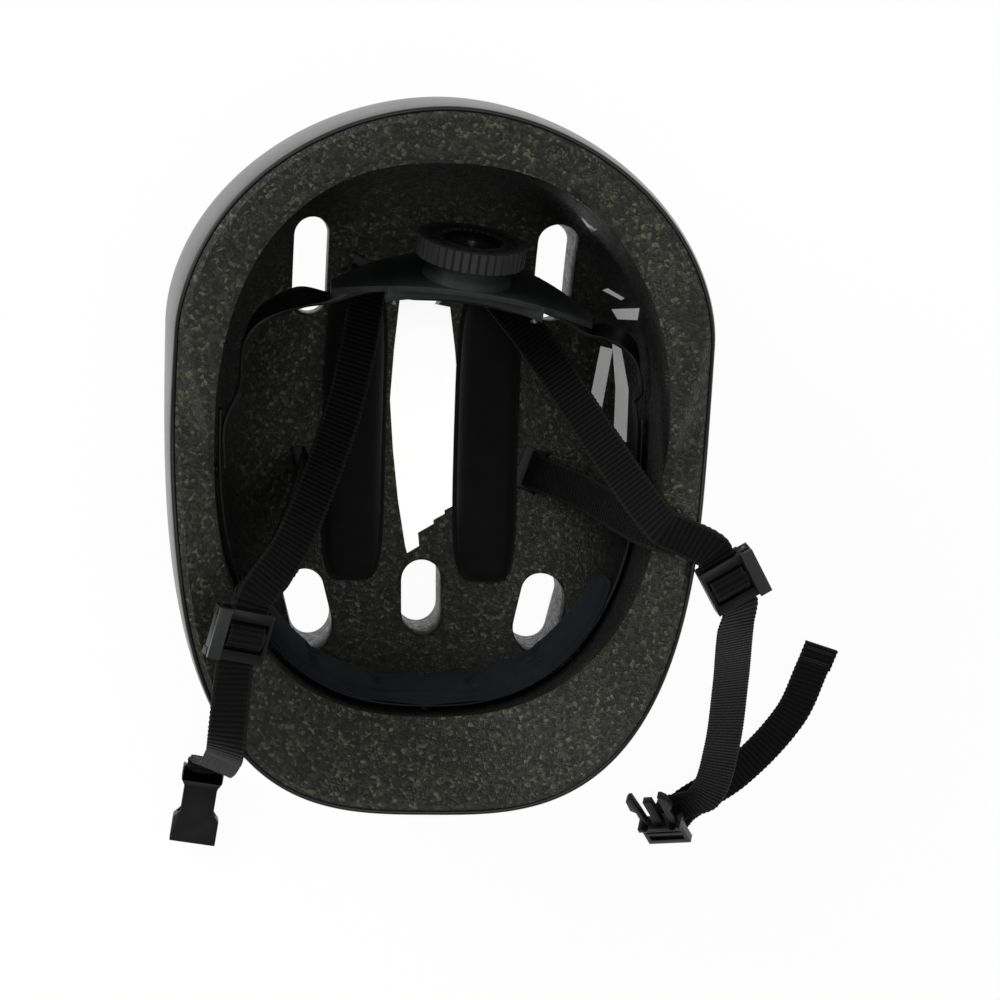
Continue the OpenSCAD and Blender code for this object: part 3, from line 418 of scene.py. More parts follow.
def cut(obj, *cutters):
    for cutter in cutters:
        m = obj.modifiers.new("cut", "BOOLEAN")
        m.operation, m.object, m.solver = "DIFFERENCE", cutter, "EXACT"
    apply_modifiers(obj)
    for cutter in cutters:
        bpy.data.objects.remove(cutter)
    return obj


def paint(obj, material):
    obj.data.materials.clear()
    obj.data.materials.append(material)
    return obj


def dress(obj, body, material, slot, *stands_for):
    """A finished piece: its material, the body it rides on, its slot (not used), and the nodes it stands for.
    """
    paint(obj, material)
    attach(obj, body)
    if stands_for:
        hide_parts(*stands_for)
    return obj


# Node helper and colours
def colour(text):
    """sRGB hex value as linear red, green, blue and alpha."""
    parts = [int(text[i:i + 2], 16) / 255 for i in (1, 3, 5)]
    return [c / 12.92 if c <= 0.04045 else ((c + 0.055) / 1.055) ** 2.4 for c in parts] + [1]


def feed(tree, node, inputs):
    """Sets a node's inputs. A node stands for its first output, and what isn't a socket is a value."""
    for key, source in inputs.items():
        if isinstance(source, bpy.types.Node):
            source = source.outputs[0]
        if isinstance(source, bpy.types.NodeSocket):
            tree.links.new(source, node.inputs[key])
        else:
            node.inputs[key].default_value = source


def add(tree, kind, inputs=None, props=None, stops=()):
    """Adds one node with its input values and links, its properties and, on a colour ramp, its stops."""
    made = tree.nodes.new(kind)
    for key, value in (props or {}).items():
        setattr(made, key, value)
    feed(tree, made, inputs or {})
    if stops:
        elements = made.color_ramp.elements
        elements[0].position, elements[1].position = stops[0][0], stops[-1][0]
        for place, _ in stops[1:-1]:
            elements.new(place)
        for element, (_, value) in zip(elements, stops):
            element.color = colour(value) if isinstance(value, str) else (value, value, value, 1)
    return made


RAMP, NOISE, MATH, MIX = "ShaderNodeValToRGB", "ShaderNodeTexNoise", "ShaderNodeMath", "ShaderNodeMix"
SPREAD, BUMP, CELLS = "ShaderNodeMapRange", "ShaderNodeBump", "ShaderNodeTexVoronoi"
BLEND, TINTED = {"data_type": "RGBA"}, {"data_type": "RGBA", "blend_type": "MULTIPLY"}
TIMES, SCALED = {"operation": "MULTIPLY"}, {"operation": "MULTIPLY_ADD"}


def bare_material(name):
    material = bpy.data.materials.new(name)
    material.use_nodes = True
    material.node_tree.nodes.clear()
    return material, material.node_tree


def surface(name, **values):
    """New material with one Principled shader whose sockets have these values."""
    material, tree = bare_material(name)
    shader = add(tree, "ShaderNodeBsdfPrincipled", {k.replace("_", " "): v for k, v in values.items()})
    add(tree, "ShaderNodeOutputMaterial", {"Surface": shader})
    return material, tree, shader


def moulded(name, dark, light, roughness, spark_mm, depth, worn=0.0, shine=0.5):
    """Moulded plastic: spark-eroded grain, faint flow marks in the gloss, and edges rubbed paler."""
    material, tree, shader = surface(name, IOR=1.5, Specular_IOR_Level=shine)
    place = add(tree, "ShaderNodeTexCoord").outputs["Object"]
    flow = add(tree, NOISE, {"Scale": 45, "Detail": 4, "Vector": place})
    grain = add(tree, NOISE, {"Scale": 1 / MM / spark_mm, "Detail": 2, "Vector": place})
    tint = add(tree, RAMP, {"Fac": flow}, stops=[(0.3, dark), (0.72, light)])
    sharp = add(tree, "ShaderNodeNewGeometry").outputs["Pointiness"]
    edge = add(tree, RAMP, {"Fac": sharp}, stops=[(0.52, 0.0), (0.6, worn)])
    pale = add(tree, MIX, {"B": colour("#8d8d8b"), "Factor": edge, "A": tint}, BLEND)
    gloss = add(tree, SPREAD, {"To Min": roughness * 0.85, "To Max": roughness * 1.2, "Value": flow})
    bump = add(tree, BUMP, {"Strength": 0.5, "Distance": depth * MM, "Height": grain})
    feed(tree, shader, {"Base Color": pale.outputs["Result"], "Roughness": gloss, "Normal": bump})
    return material


# Materials
# ABS sheet with a satin moulded face: near black, broad soft reflections
satin_abs = moulded("satin_black_abs", "#121213", "#1a1a1b", 0.3, 0.5, 0.006, 0.12)
# Nylon 6 strip and clips: black, semi-matt, fine grain
nylon = moulded("black_nylon", "#0b0b0c", "#131314", 0.42, 0.4, 0.02, 0.1, shine=0.3)
# Glass-filled nylon of the yoke: mid grey with a soft sheen
grey_nylon = moulded("grey_nylon", "#1d2021", "#2b2e2f", 0.5, 0.4, 0.015, 0.12, shine=0.3)
# The dial's nylon is darker, with a spark-eroded face
dial_nylon = moulded("dark_grey_nylon", "#0b0c0d", "#121314", 0.45, 0.3, 0.02, 0.2, shine=0.16)
# Acetal of the buckles and sliders: slightly waxy black
acetal = moulded("black_acetal", "#0b0b0c", "#111112", 0.4, 0.4, 0.012, 0.15, shine=0.25)
# Acetal of the cam levers: dark grey
grey_acetal = moulded("grey_acetal", "#1a1c1e", "#25272a", 0.36, 0.4, 0.012, 0.25)
# Natural acetal of the pinion: milky
natural_acetal = moulded("natural_acetal", "#c4c3bb", "#d6d5ce", 0.35, 0.4, 0.01)


def turned_steel():
    """Turned steel: fine rings left by the tool, seen as a streaked gloss."""
    material, tree, shader = surface("turned_steel", Metallic=1.0)
    place = add(tree, "ShaderNodeTexCoord").outputs["Object"]
    streak = add(tree, NOISE, {"Scale": 2500, "Detail": 3, "Vector": place})
    tone = add(tree, RAMP, {"Fac": streak}, stops=[(0.3, "#8c8e90"), (0.7, "#b9babc")])
    gloss = add(tree, SPREAD, {"To Min": 0.22, "To Max": 0.42, "Value": streak})
    feed(tree, shader, {"Base Color": tone, "Roughness": gloss})
    return material


steel = turned_steel()


def bead_foam():
    """Expanded polystyrene pressed in a warm mould: flattened beads of about 1.4 mm, each its own grey, a
    darker seam around each bead and a faint skin gloss. The steep walls are painted a flat near-black:
    painted shade, for the shade they lie in."""
    material, tree, shader = surface("dark_bead_foam", IOR=1.5)
    place = add(tree, "ShaderNodeTexCoord").outputs["Object"]
    warp = add(tree, NOISE, {"Scale": 260, "Detail": 1, "Vector": place})
    moved = add(tree, "ShaderNodeVectorMath", {0: warp.outputs["Color"], 1: [2.4 * MM] * 3, 2: place}, SCALED)
    beads_per_m = 1 / MM / 1.35
    bead = add(tree, CELLS, {"Scale": beads_per_m, "Vector": moved})
    seam = add(tree, CELLS, {"Scale": beads_per_m, "Vector": moved}, {"feature": "DISTANCE_TO_EDGE"})
    each = add(tree, "ShaderNodeSeparateColor", {"Color": bead.outputs["Color"]})
    grey = add(tree, RAMP, {"Fac": each},
               stops=[(0.0, "#171711"), (0.5, "#2c2c24"), (0.85, "#4a4a3e"), (1.0, "#73735f")])
    broad = add(tree, NOISE, {"Scale": 60, "Detail": 3, "Vector": place})
    tone = add(tree, RAMP, {"Fac": broad}, stops=[(0.3, 0.72), (0.7, 1.0)])
    shaded = add(tree, MIX, {"Factor": 1.0, "A": grey, "B": tone}, TINTED)
    line = add(tree, RAMP, {"Fac": seam.outputs["Distance"]}, stops=[(0.0, 0.45), (0.09, 1.0)])
    dark = add(tree, MIX, {"Factor": 1.0, "A": shaded.outputs["Result"], "B": line}, TINTED)
    # Painted shade: the steeper the face, the more its colour fades to a flat near-black
    facing = add(tree, "ShaderNodeNewGeometry").outputs["Normal"]
    upright = add(tree, "ShaderNodeSeparateXYZ", {"Vector": facing})
    wall_shade_mask = add(tree, SPREAD,
                {"From Min": 0.42, "From Max": 0.86, "To Min": 0.06, "Value": upright.outputs["Z"]})
    painted_wall_shade = add(tree, MIX, {"A": colour("#0c0c0d"), "Factor": wall_shade_mask, "B": dark.outputs["Result"]}, BLEND)
    skin = add(tree, SPREAD, {"To Min": 0.38, "To Max": 0.68, "Value": each.outputs[1]})
    dome = add(tree, RAMP, {"Fac": seam.outputs["Distance"]}, stops=[(0.0, 0.0), (0.25, 0.9), (0.5, 1.0)])
    bump = add(tree, BUMP, {"Strength": 0.55, "Distance": 0.25 * MM, "Height": dome})
    feed(tree, shader, {"Base Color": painted_wall_shade.outputs["Result"], "Roughness": skin, "Normal": bump})
    return material


foam = bead_foam()


def brushed_cloth(name, dark, light, sheen):
    """Brushed nylon loop cloth on foam: soft nap in patches, tiny loops, a pale bloom at low angles."""
    material, tree, shader = surface(name, Roughness=0.9, IOR=1.45, Sheen_Weight=sheen, Sheen_Roughness=0.45,
                                     Sheen_Tint=colour("#6d6f76"))
    place = add(tree, "ShaderNodeTexCoord").outputs["Object"]
    loops = add(tree, CELLS, {"Scale": 1 / MM / 0.55, "Vector": place})
    nap = add(tree, NOISE, {"Scale": 110, "Detail": 5, "Vector": place})
    tone = add(tree, RAMP, {"Fac": nap}, stops=[(0.3, dark), (0.7, light)])
    pit = add(tree, RAMP, {"Fac": loops.outputs["Distance"]}, stops=[(0.0, 1.0), (0.6, 0.72)])
    both = add(tree, MIX, {"Factor": 1.0, "A": tone, "B": pit}, TINTED)
    height = add(tree, MATH, {0: nap, 1: 3.0, 2: loops.outputs["Distance"]}, SCALED)
    bump = add(tree, BUMP, {"Strength": 0.5, "Distance": 0.12 * MM, "Height": height})
    feed(tree, shader, {"Base Color": both.outputs["Result"], "Normal": bump})
    return material


pad_cloth = brushed_cloth("black_loop_cloth", "#0b0b0c", "#141416", 0.25)
brow_cloth = brushed_cloth("navy_loop_cloth", "#10141c", "#1a202c", 0.35)
# The webbing's weave: the pitch of its crosswise ribs and of its lengthwise yarns
rib_mm, yarn_mm = 2.2, 0.9


def webbing_cloth():
    """Polypropylene webbing in a ribbed weave: crosswise ribs, lengthwise yarns and a tighter, paler selvedge
    along both edges."""
    material, tree, shader = surface("black_webbing", IOR=1.49, Specular_IOR_Level=0.15, Sheen_Weight=0.04,
                                     Sheen_Roughness=0.4, Sheen_Tint=colour("#7b7d80"))
    weave = add(tree, "ShaderNodeAttribute", props={"attribute_name": "weave"}).outputs["Vector"]
    part = add(tree, "ShaderNodeSeparateXYZ", {"Vector": weave})
    yarn = add(tree, MATH, {0: part, 1: 2 * math.pi / yarn_mm}, TIMES)
    pick = add(tree, MATH, {0: part.outputs[1], 1: 2 * math.pi / rib_mm}, TIMES)
    shift = add(tree, MATH, {0: yarn}, {"operation": "SINE"})
    moved = add(tree, MATH, {0: shift, 1: 0.5, 2: pick}, SCALED)
    rib = add(tree, MATH, {0: moved}, {"operation": "SINE"})
    across_yarn = add(tree, MATH, {0: yarn}, {"operation": "COSINE"})
    cloth = add(tree, MATH, {0: across_yarn, 1: 0.45, 2: rib}, SCALED)
    height = add(tree, SPREAD, {"From Min": -1.4, "From Max": 1.4, "Value": cloth})
    edge = add(tree, MATH, {0: part}, {"operation": "ABSOLUTE"})
    selvedge = add(tree, SPREAD, {"From Min": 6.1, "From Max": 6.5, "Value": edge})
    # Painted shade: the tone follows the weave's height, darker in the grooves and paler on the crowns
    tone = add(tree, RAMP, {"Fac": height}, stops=[(0.05, "#040405"), (0.5, "#0d0d0e"), (0.95, "#1b1b1d")])
    fuzz = add(tree, NOISE, {"Scale": 0.35, "Detail": 4, "Vector": weave})
    patch = add(tree, RAMP, {"Fac": fuzz}, stops=[(0.3, 0.75), (0.7, 1.0)])
    worn = add(tree, MIX, {"Factor": 1.0, "A": tone, "B": patch}, TINTED)
    paler = add(tree, MIX, {"B": colour("#28282a"), "Factor": selvedge, "A": worn.outputs["Result"]}, BLEND)
    edged = add(tree, MIX, {"Factor": 0.55, "A": worn.outputs["Result"], "B": paler.outputs["Result"]}, BLEND)
    gloss = add(tree, SPREAD, {"To Min": 0.72, "To Max": 0.5, "Value": height})
    bump = add(tree, BUMP, {"Strength": 0.7, "Distance": 0.22 * MM, "Height": height})
    feed(tree, shader, {"Base Color": edged.outputs["Result"], "Roughness": gloss, "Normal": bump})
    return material


webbing = webbing_cloth()


def thread_cloth():
    """Bonded nylon sewing thread: two plies that glint as they twist."""
    material, tree, shader = surface("black_thread", Roughness=0.5, Sheen_Weight=0.2)
    place = add(tree, "ShaderNodeTexCoord").outputs["Object"]
    ply = add(tree, "ShaderNodeTexWave", {"Scale": 900, "Distortion": 0.5, "Vector": place},
              {"bands_direction": "DIAGONAL"})
    tone = add(tree, RAMP, {"Fac": ply}, stops=[(0.2, "#121213"), (0.8, "#39393c")])
    feed(tree, shader, {"Base Color": tone})
    return material


thread = thread_cloth()


def label_paper(name, glow):
    """Coated paper label, left blank: faint mottling and a soft gloss. The glow is painted light, an emission
    that makes the label brighter than the lamps light it.
    """
    material, tree, shader = surface(name, IOR=1.5, Emission_Color=colour("#ffffff"), Emission_Strength=glow)
    place = add(tree, "ShaderNodeTexCoord").outputs["Object"]
    pulp = add(tree, NOISE, {"Scale": 400, "Detail": 5, "Vector": place})
    tone = add(tree, RAMP, {"Fac": pulp}, stops=[(0.3, "#f0f0ee"), (0.7, "#fbfbfa")])
    gloss = add(tree, SPREAD, {"To Min": 0.4, "To Max": 0.6, "Value": pulp})
    bump = add(tree, BUMP, {"Strength": 0.2, "Distance": 0.02 * MM, "Height": pulp})
    feed(tree, shader, {"Base Color": tone, "Roughness": gloss, "Normal": bump})
    return material


# Painted light: both papers glow, strongly for the crown label and faintly for the small labels
paper, faint_glow_paper = label_paper("glowing_label_paper", 0.78), label_paper("faintly_glowing_label_paper", 0.12)
# Lacquered dark label that catches the light
lacquer = moulded("dark_lacquered_label", "#1d1e1f", "#303233", 0.16, 0.8, 0.004)


# Shell and liner
def block_cutter(name, at, outline, angle, low, high):
    """Closed block over this outline, turned and moved to its place, from low to high."""
    turned = [(at[0] + x * cosd(angle) - y * sind(angle), at[1] + x * sind(angle) + y * cosd(angle))
              for x, y in outline]
    return rings(name, [[vec(x, y, z) for x, y in turned] for z in (low, high)])


def vent_cutters():
    """Bars with round ends through shell and foam."""
    front_w, front_l, rear_w, rear_l, vent_x, vent_shift = 17.5, 32, 15, 41, 48.5, 2
    low, high, arc_steps = -1.013, 101, 24
    slots = [((vent_shift, -66.5), front_w, front_l - 2, 0), ((vent_shift - 2, 62.5), rear_w + 1, 22, 0)]
    for side in (-1, 1):
        slots.append(((side * vent_x + vent_shift, -70.5), front_w, front_l, -15 * side))
        slots.append(((side * (vent_x + 2) + vent_shift, 72), rear_w, rear_l, 0))
    cutters = []
    for at, w, l, angle in slots:
        outline = [(w / 2 * cosd(a), end * (l - w) / 2 + w / 2 * sind(a))
                   for end, first in ((1, 0), (-1, 180))
                   for a in (first + 180 * i / arc_steps for i in range(arc_steps + 1))]
        cutters.append(block_cutter("vent", at, outline, angle, low, high))
    return cutters


round_steps = 216
turns = [360 * (i + 0.5) / round_steps for i in range(round_steps)]
pocket_gap, pocket_half_l, pocket_depth, pocket_open = 1.5, 5, 7, 33


def make_shell():
    lip_r, lip_from, count = shell_t / 2, 0.975, 44
    rows = [[shell_pt(t, s, 0) for t in turns] for s in np.linspace(0, lip_from, count)]
    for a in range(0, 181, 30):
        drop = vec(0, 0, lip_r * (sind(a) - 1))
        rows.append([shell_pt(t, 1, lip_r - lip_r * cosd(a)) + drop for t in turns])
    rows += [[shell_pt(t, s, shell_t) for t in turns] for s in np.linspace(lip_from, 0, count)]
    return cut(rings("shell", rows), *vent_cutters())


def make_liner():
    skin = shell_t + 0.04

    def inner_lip(t):
        p = cavity_pt(t, 1)
        return p + unit([p[0], p[1] - cavity_wide_y, 0]) * liner_edge + vec(0, 0, liner_lip)
    rows = [[shell_pt(t, s, skin) for t in turns] for s in np.linspace(0, 1, 36)]
    outer = [shell_pt(t, 1, shell_t + liner_edge) + vec(0, 0, liner_lip) for t in turns]
    inner = [inner_lip(t) for t in turns]
    rows += [[mix(a, b, k) for a, b in zip(outer, inner)] for k in (0, 0.08, 0.5, 0.92, 1)]
    rows += [[cavity_pt(t, s) for t in turns] for s in np.linspace(1, 0.012, 72)]
    liner = rings("liner", rows, smooth_angle=40)
    cutters, x, y = vent_cutters(), web_w / 2 + pocket_gap, pocket_half_l
    for side in (-1, 1):
        for rear in (False, True):
            at, angle = anchor_at(side, rear), side * (rear_turn if rear else front_turn)
            cutters.append(block_cutter("pocket", at, [(-x, -y), (x, -y), (x, y), (-x, y)], angle,
                                        at[2] - pocket_depth, at[2] + pocket_open))
    return cut(liner, *cutters)


dress(make_shell(), "helmet", satin_abs, "shell", "outer_shell")
dress(make_liner(), "helmet", foam, "liner_foam", "eps_liner")


# Pads: the height of the welded flange, and from where on a sewn channel presses the face in
flange_h, channel_from = 1.35, 1.3


def pad_loops(half_a, half_b, height, flange, place, corner=5.0, count=96, dimple=None):
    """Loops of a sewn pad: a thin welded flange round the edge, then a crowned face. place maps the pad's own
    across, along and up to the helmet."""
    profile = [(0, 0), (0, 0.8), (0.35, 1.05), (flange - 0.3, 1.1), (flange, flange_h)]
    for k in np.linspace(0.08, 1, 12):
        profile.append((flange + (half_a - flange - 0.15) * (1 - math.cos(k * math.pi / 2)),
                        flange_h + (height - flange_h) * math.sin(k * math.pi / 2) ** 0.85))
    loops = []
    for inset, up in profile:
        loop = []
        for i in range(count):
            a = 360 * i / count
            n = corner if inset < flange + 1 else max(corner - (inset - flange) * 0.25, 2.4)
            x, y = (half_a - inset) * spow(cosd(a), 2 / n), (half_b - inset) * spow(sind(a), 2 / n)
            if dimple and up >= channel_from:
                h = channel_from + (up - channel_from) * dimple(x, y)
            else:
                h = up
            loop.append(place(x, y, h))
        loops.append(loop)
    return loops


def pad(name, loops, body, material, slot):
    obj = rings(name + "_cover", loops, True, 60)
    dress(obj, body, material, slot, name)


def crown_place(side):
    def place(x, y, h):
        px, py = side * pad_x + x, pad_mid_y + y
        z = floor_z(px, py)
        n = liner_normal(vec(px, py, z))
        return vec(px, py, z + fit_gap) + unit(vec(n[0] * 0.5, n[1] * 0.5, n[2])) * h
    return place


for side, name in ((-1, "crown_pad_left"), (1, "crown_pad_right")):
    pad(name, pad_loops(pad_w / 2, pad_l / 2, pad_t, 1.8, crown_place(side)), "helmet", pad_cloth, "pad")

brow_start, brow_sweep, brow_half = 209, 122, 92
brow_channels = (-46, -15, 15, 46)


def brow_place(x, y, h):
    t = brow_start + brow_sweep * (0.5 + y / brow_half / 2)
    z = cavity_wide_h + 8 - brow_pad_h / 2 + x
    return wall_pt(t, z, band_inset + band_t + fit_gap + h)


def channels(x, y):
    return 1 - 0.5 * max(math.exp(-((y - c) / 1.6) ** 2) for c in brow_channels)


brow_loops = pad_loops(brow_pad_h / 2, brow_half, brow_pad_t, 1.8, brow_place, count=288, dimple=channels)
pad("brow_pad", brow_loops, "helmet", brow_cloth, "brow_pad")


def nape_place(x, y, h):
    r = cover_r - cover_t - 0.02 - h
    a = y / (cover_r - cover_t)
    return cradle_pt((r * math.sin(a), r * math.cos(a) - yoke_r, x))


nape_loops = pad_loops(channel_h / 2, cover_w / 2 - 5, 3, 1.5, nape_place, count=128)
pad("nape_pad", nape_loops, "cradle", pad_cloth, "pad")


# Webbing and strips
def strip(name, rows, w, t, step=0.8, edge=0.0, scallop=0.0):
    """Woven or moulded flat strip along the rows, with rounded edges. edge thickens both borders; scallop is
    how far each crosswise rib pushes the selvedge out."""
    half = ((1, 0.35, 0), (0.985, 0.8, 0), (0.95, 1, edge), (0.9, 1, edge), (0.82, 1, 0), (0.6, 1, 0),
            (0.3, 1, 0))
    top = [(-k * w / 2, t / 2 * share + more) for k, share, more in half] + [(0, t / 2)]
    top += [(-x, z) for x, z in reversed(top[:-1])]
    section = top + [(x, -z) for x, z in reversed(top)]
    path = follow(rows, step)
    loops, weave, along = [], [], 0
    for i, (p, side, face) in enumerate(path):
        if i:
            along += np.linalg.norm(p - path[i - 1][0])
        swell = scallop * math.sin(2 * math.pi * along / rib_mm)
        loops.append([p + side * x * (1 + swell * 2 / w) + face * z * (1 + swell) for x, z in section])
        weave += [(x, along, 0) for x, z in section]
    obj = rings(name, loops, smooth_angle=50, weave=weave)
    return obj, path


def woven(name, rows, body, *stands_for, wider=0.0):
    """One piece of webbing on a body, and its path."""
    obj, path = strip(name, rows, web_w + wider, web_t - 0.1, step=0.44, edge=0.05, scallop=0.14)
    dress(obj, body, webbing, "webbing", *stands_for)
    return path


strap_body = {"chin_strap_left": "left_strap", "chin_strap_right": "right_strap", "strap_tail": "right_strap",
              "tail_fold": "right_strap"}
paths = {name: woven(name + "_weave", rows, strap_body.get(name, "helmet"), name,
                     wider=0.3 if name == "tail_fold" else 0.0)
         for name, rows in strap_routes().items()}

# The end of the socket's webbing is turned back on itself and sewn down
chin = paths["chin_strap_left"]
fold_rows = [(p - f * (web_t + 0.05) * (1 if f[2] > 0 else -1), s) for p, s, f in chin[-130:-30:11]]
fold_path = woven("chin_strap_turn_back", fold_rows, "left_strap", wider=-0.3)

# Webbing threaded up through one window of each slider, over its middle bar and down the other: along, up
threading = ((5.2, 0.6), (4.3, 2.4), (2.2, 4.2), (0, 4.45), (-2.2, 4.2), (-4.3, 2.4), (-5.2, 0.6))
for right, name in ((False, "slider_threading_left"), (True, "slider_threading_right")):
    woven(name, [(slider_pt(right, (0, y, z)), slider_side(right)) for y, z in threading], "helmet",
          wider=-0.3)


def ring_arm(side):
    up = vec(0, 0, 1)
    lean_up = lean_turn((0, 0, 1), cradle_lean, cradle_turn)
    inset = band_inset + band_t * 1.5 + 2 * fit_gap
    root, r, band_mid = (0 if side > 0 else 180), rack_r - tab_t - band_t / 2, cavity_wide_h - 1
    slack = ([(57.5, -22.5, -5), (67.5, -28.5, -5.5), (72, -43, -5.5)] if side > 0
             else [(-66, -12, -2), (-80, -19, -3), (-87, -30, -4)])
    rows = [(wall_pt(root - side * 6, band_mid, inset), up), (wall_pt(root, band_mid, inset), up),
            (wall_pt(root + side * 6, band_mid, inset + (0.5 if side > 0 else 5)), up),
            (cradle_at + vec(*slack[2]), up),
            (cradle_at + vec(*slack[1]), unit([-0.2, -0.6, 0.75] if side > 0 else [0.1, -0.5, 0.8])),
            (cradle_at + vec(*slack[0]), unit([-0.15, -0.6, 0.75] if side > 0 else [0.15, -0.8, 0.55]))]
    return rows + [(cradle_pt((side * r * sind(f), r * cosd(f) - yoke_r, 0)), lean_up)
                   for f in (27, 22.5, 18, 14)]


for side, name in ((-1, "ring_arm_left"), (1, "ring_arm_right")):
    arm, path = strip(name + "_strip", ring_arm(side), band_h - 2, band_t - 0.3, edge=0.25)
    paint(arm, nylon)
    first, last = path[len(path) // 3][0] * MM, path[int(len(path) * 0.78)][0] * MM
    tuple(first)
    tuple(last)
    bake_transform(arm)
    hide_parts(name)

band_rows = [(wall_pt(178 + 184 * j / 90, cavity_wide_h - 1, band_inset + band_t / 2), vec(0, 0, 1))
             for j in range(91)]
band, _ = strip("front_ring_band_strip", band_rows, band_h, band_t - 0.15, step=2.0, edge=0.07)
dress(band, "helmet", nylon, "ring", "front_ring_band")


# Hard parts refined from their nodes
weld, flat_angle, edge_angle = 0.003, 0.8, 28


def refine(node, edge_mm, material, slot, body, segments):
    """A copy of the node with its edges rounded as a mould leaves them."""
    obj = into_scene(node + "_moulding", nodes[node].data.copy())
    bm = bmesh.new()
    bm.from_mesh(obj.data)
    bmesh.ops.remove_doubles(bm, verts=bm.verts, dist=weld * MM)
    bmesh.ops.dissolve_limit(bm, angle_limit=math.radians(flat_angle), verts=bm.verts, edges=bm.edges)
    bm.to_mesh(obj.data)
    bm.free()
    m = obj.modifiers.new("edge", "BEVEL")
    m.width, m.segments, m.limit_method = edge_mm * MM, segments, "ANGLE"
    m.angle_limit = math.radians(edge_angle)
    m.use_clamp_overlap = True
    apply_modifiers(obj)
    shade(obj, 40)
    dress(obj, body, material, slot, node)


refine("slider_left", 0.5, acetal, "buckle", "helmet", 3)
refine("slider_right", 0.5, acetal, "buckle", "helmet", 3)
refine("slider_lever_left", 1.1, grey_acetal, "lever", "left_lever", 3)
refine("slider_lever_right", 1.1, grey_acetal, "lever", "right_lever", 3)
refine("buckle_socket", 1.3, acetal, "buckle", "left_strap", 3)
refine("buckle_plug", 0.4, acetal, "buckle", "right_strap", 2)
refine("plug_arm_left", 0.4, acetal, "buckle", "left_prong", 2)
refine("plug_arm_right", 0.4, acetal, "buckle", "right_prong", 2)

finishes = ((grey_nylon, ("nape_yoke", "dial_base")), (dial_nylon, ("size_dial",)),
            (natural_acetal, ("pinion", "detent_spring")),
            (steel, ("cover_screws", "dial_screw", "lever_pin_left", "lever_pin_right")),
            (nylon, ("rack_cover", "rack_left", "rack_right", "ring_anchors", "strap_anchors_front",
                     "strap_anchors_rear")))
for material, names in finishes:
    for name in names:
        paint(nodes[name], material)


# Repeated small parts
def scatter_tree():
    """Geometry Nodes: a small round-ended bar or button on every point, laid along the point's directions."""
    tree = bpy.data.node_groups.new("bars_on_points", "GeometryNodeTree")
    number = "NodeSocketFloat"
    for name, kind, value in (("Geometry", "NodeSocketGeometry", None), ("Length", number, 2 * MM),
                              ("Thickness", number, 0.5 * MM), ("Height", number, 0.4 * MM),
                              ("Material", "NodeSocketMaterial", None)):
        socket = tree.interface.new_socket(name, in_out="INPUT", socket_type=kind)
        if value is not None:
            socket.default_value = value
    tree.interface.new_socket("Geometry", in_out="OUTPUT", socket_type="NodeSocketGeometry")
    inputs = add(tree, "NodeGroupInput")
    bead = add(tree, "GeometryNodeMeshUVSphere", {"Segments": 8, "Rings": 5, "Radius": 0.5})
    size = add(tree, "ShaderNodeCombineXYZ", {"X": inputs.outputs["Length"], "Y": inputs.outputs["Thickness"],
                                              "Z": inputs.outputs["Height"]})
    along = add(tree, "GeometryNodeInputNamedAttribute", {"Name": "way"}, {"data_type": "FLOAT_VECTOR"})
    upward = add(tree, "GeometryNodeInputNamedAttribute", {"Name": "face"}, {"data_type": "FLOAT_VECTOR"})
    first = add(tree, "FunctionNodeAlignRotationToVector", {"Vector": along}, {"axis": "X"})
    second = add(tree, "FunctionNodeAlignRotationToVector", {"Rotation": first, "Vector": upward},
                 {"axis": "Z", "pivot_axis": "X"})
    points = add(tree, "GeometryNodeMeshToPoints", {"Mesh": inputs.outputs["Geometry"]})
    placed = add(tree, "GeometryNodeInstanceOnPoints",
                 {"Points": points, "Instance": bead.outputs["Mesh"], "Rotation": second, "Scale": size})
    real = add(tree, "GeometryNodeRealizeInstances", {"Geometry": placed})
    smooth = add(tree, "GeometryNodeSetShadeSmooth", {"Geometry": real})
    made = add(tree, "GeometryNodeSetMaterial", {"Geometry": smooth, "Material": inputs.outputs["Material"]})
    add(tree, "NodeGroupOutput", {"Geometry": made})
    return tree


bars_tree = scatter_tree()


def bars(name, spots, length, thickness, height, material):
    """spots hold a place, the direction along the bar and the direction it faces, all in millimetres."""
    mesh = bpy.data.meshes.new(name)
    mesh.from_pydata([tuple(float(c) * MM for c in p) for p, _, _ in spots], [], [])
    for key, index in (("way", 1), ("face", 2)):
        attribute = mesh.attributes.new(key, "FLOAT_VECTOR", "POINT")
        attribute.data.foreach_set("vector", np.array([s[index] for s in spots], np.float32).ravel())
    obj = into_scene(name, mesh)
    m = obj.modifiers.new("bars", "NODES")
    m.node_group = bars_tree
    wanted = {"Length": length * MM, "Thickness": thickness * MM, "Height": height * MM, "Material": material}
    for item in bars_tree.interface.items_tree:
        if item.item_type == "SOCKET" and item.in_out == "INPUT" and item.name in wanted:
            m[item.identifier] = wanted[item.name]
    return apply_modifiers(obj)


def seam(path, lines, pitch=2.4):
    """Stitch spots over both faces of a strip: lines are distances from its middle, in millimetres."""
    spots, since, gap = [], pitch, web_t / 2
    for i in range(1, len(path)):
        since += np.linalg.norm(path[i][0] - path[i - 1][0])
        if since >= pitch:
            since = 0
            way = unit(path[i][0] - path[i - 1][0])
            p, side, face = path[i]
            spots += [(p + side * line + face * out * gap, way, face * out)
                      for line in lines for out in (1, -1)]
    return spots


def bar_tack(path, index, half_w, rows=2, pitch=1.3):
    """Dense crosswise rows of stitches at one place of a strip."""
    spots, gap = [], web_t / 2
    p, side, face = path[index]
    way = np.cross(side, face)
    for r in range(rows):
        for k in np.arange(-half_w, half_w + 0.01, pitch):
            at = p + side * k + way * (r - (rows - 1) / 2) * 0.9
            spots += [(at + face * out * gap, side, face * out) for out in (1, -1)]
    return spots


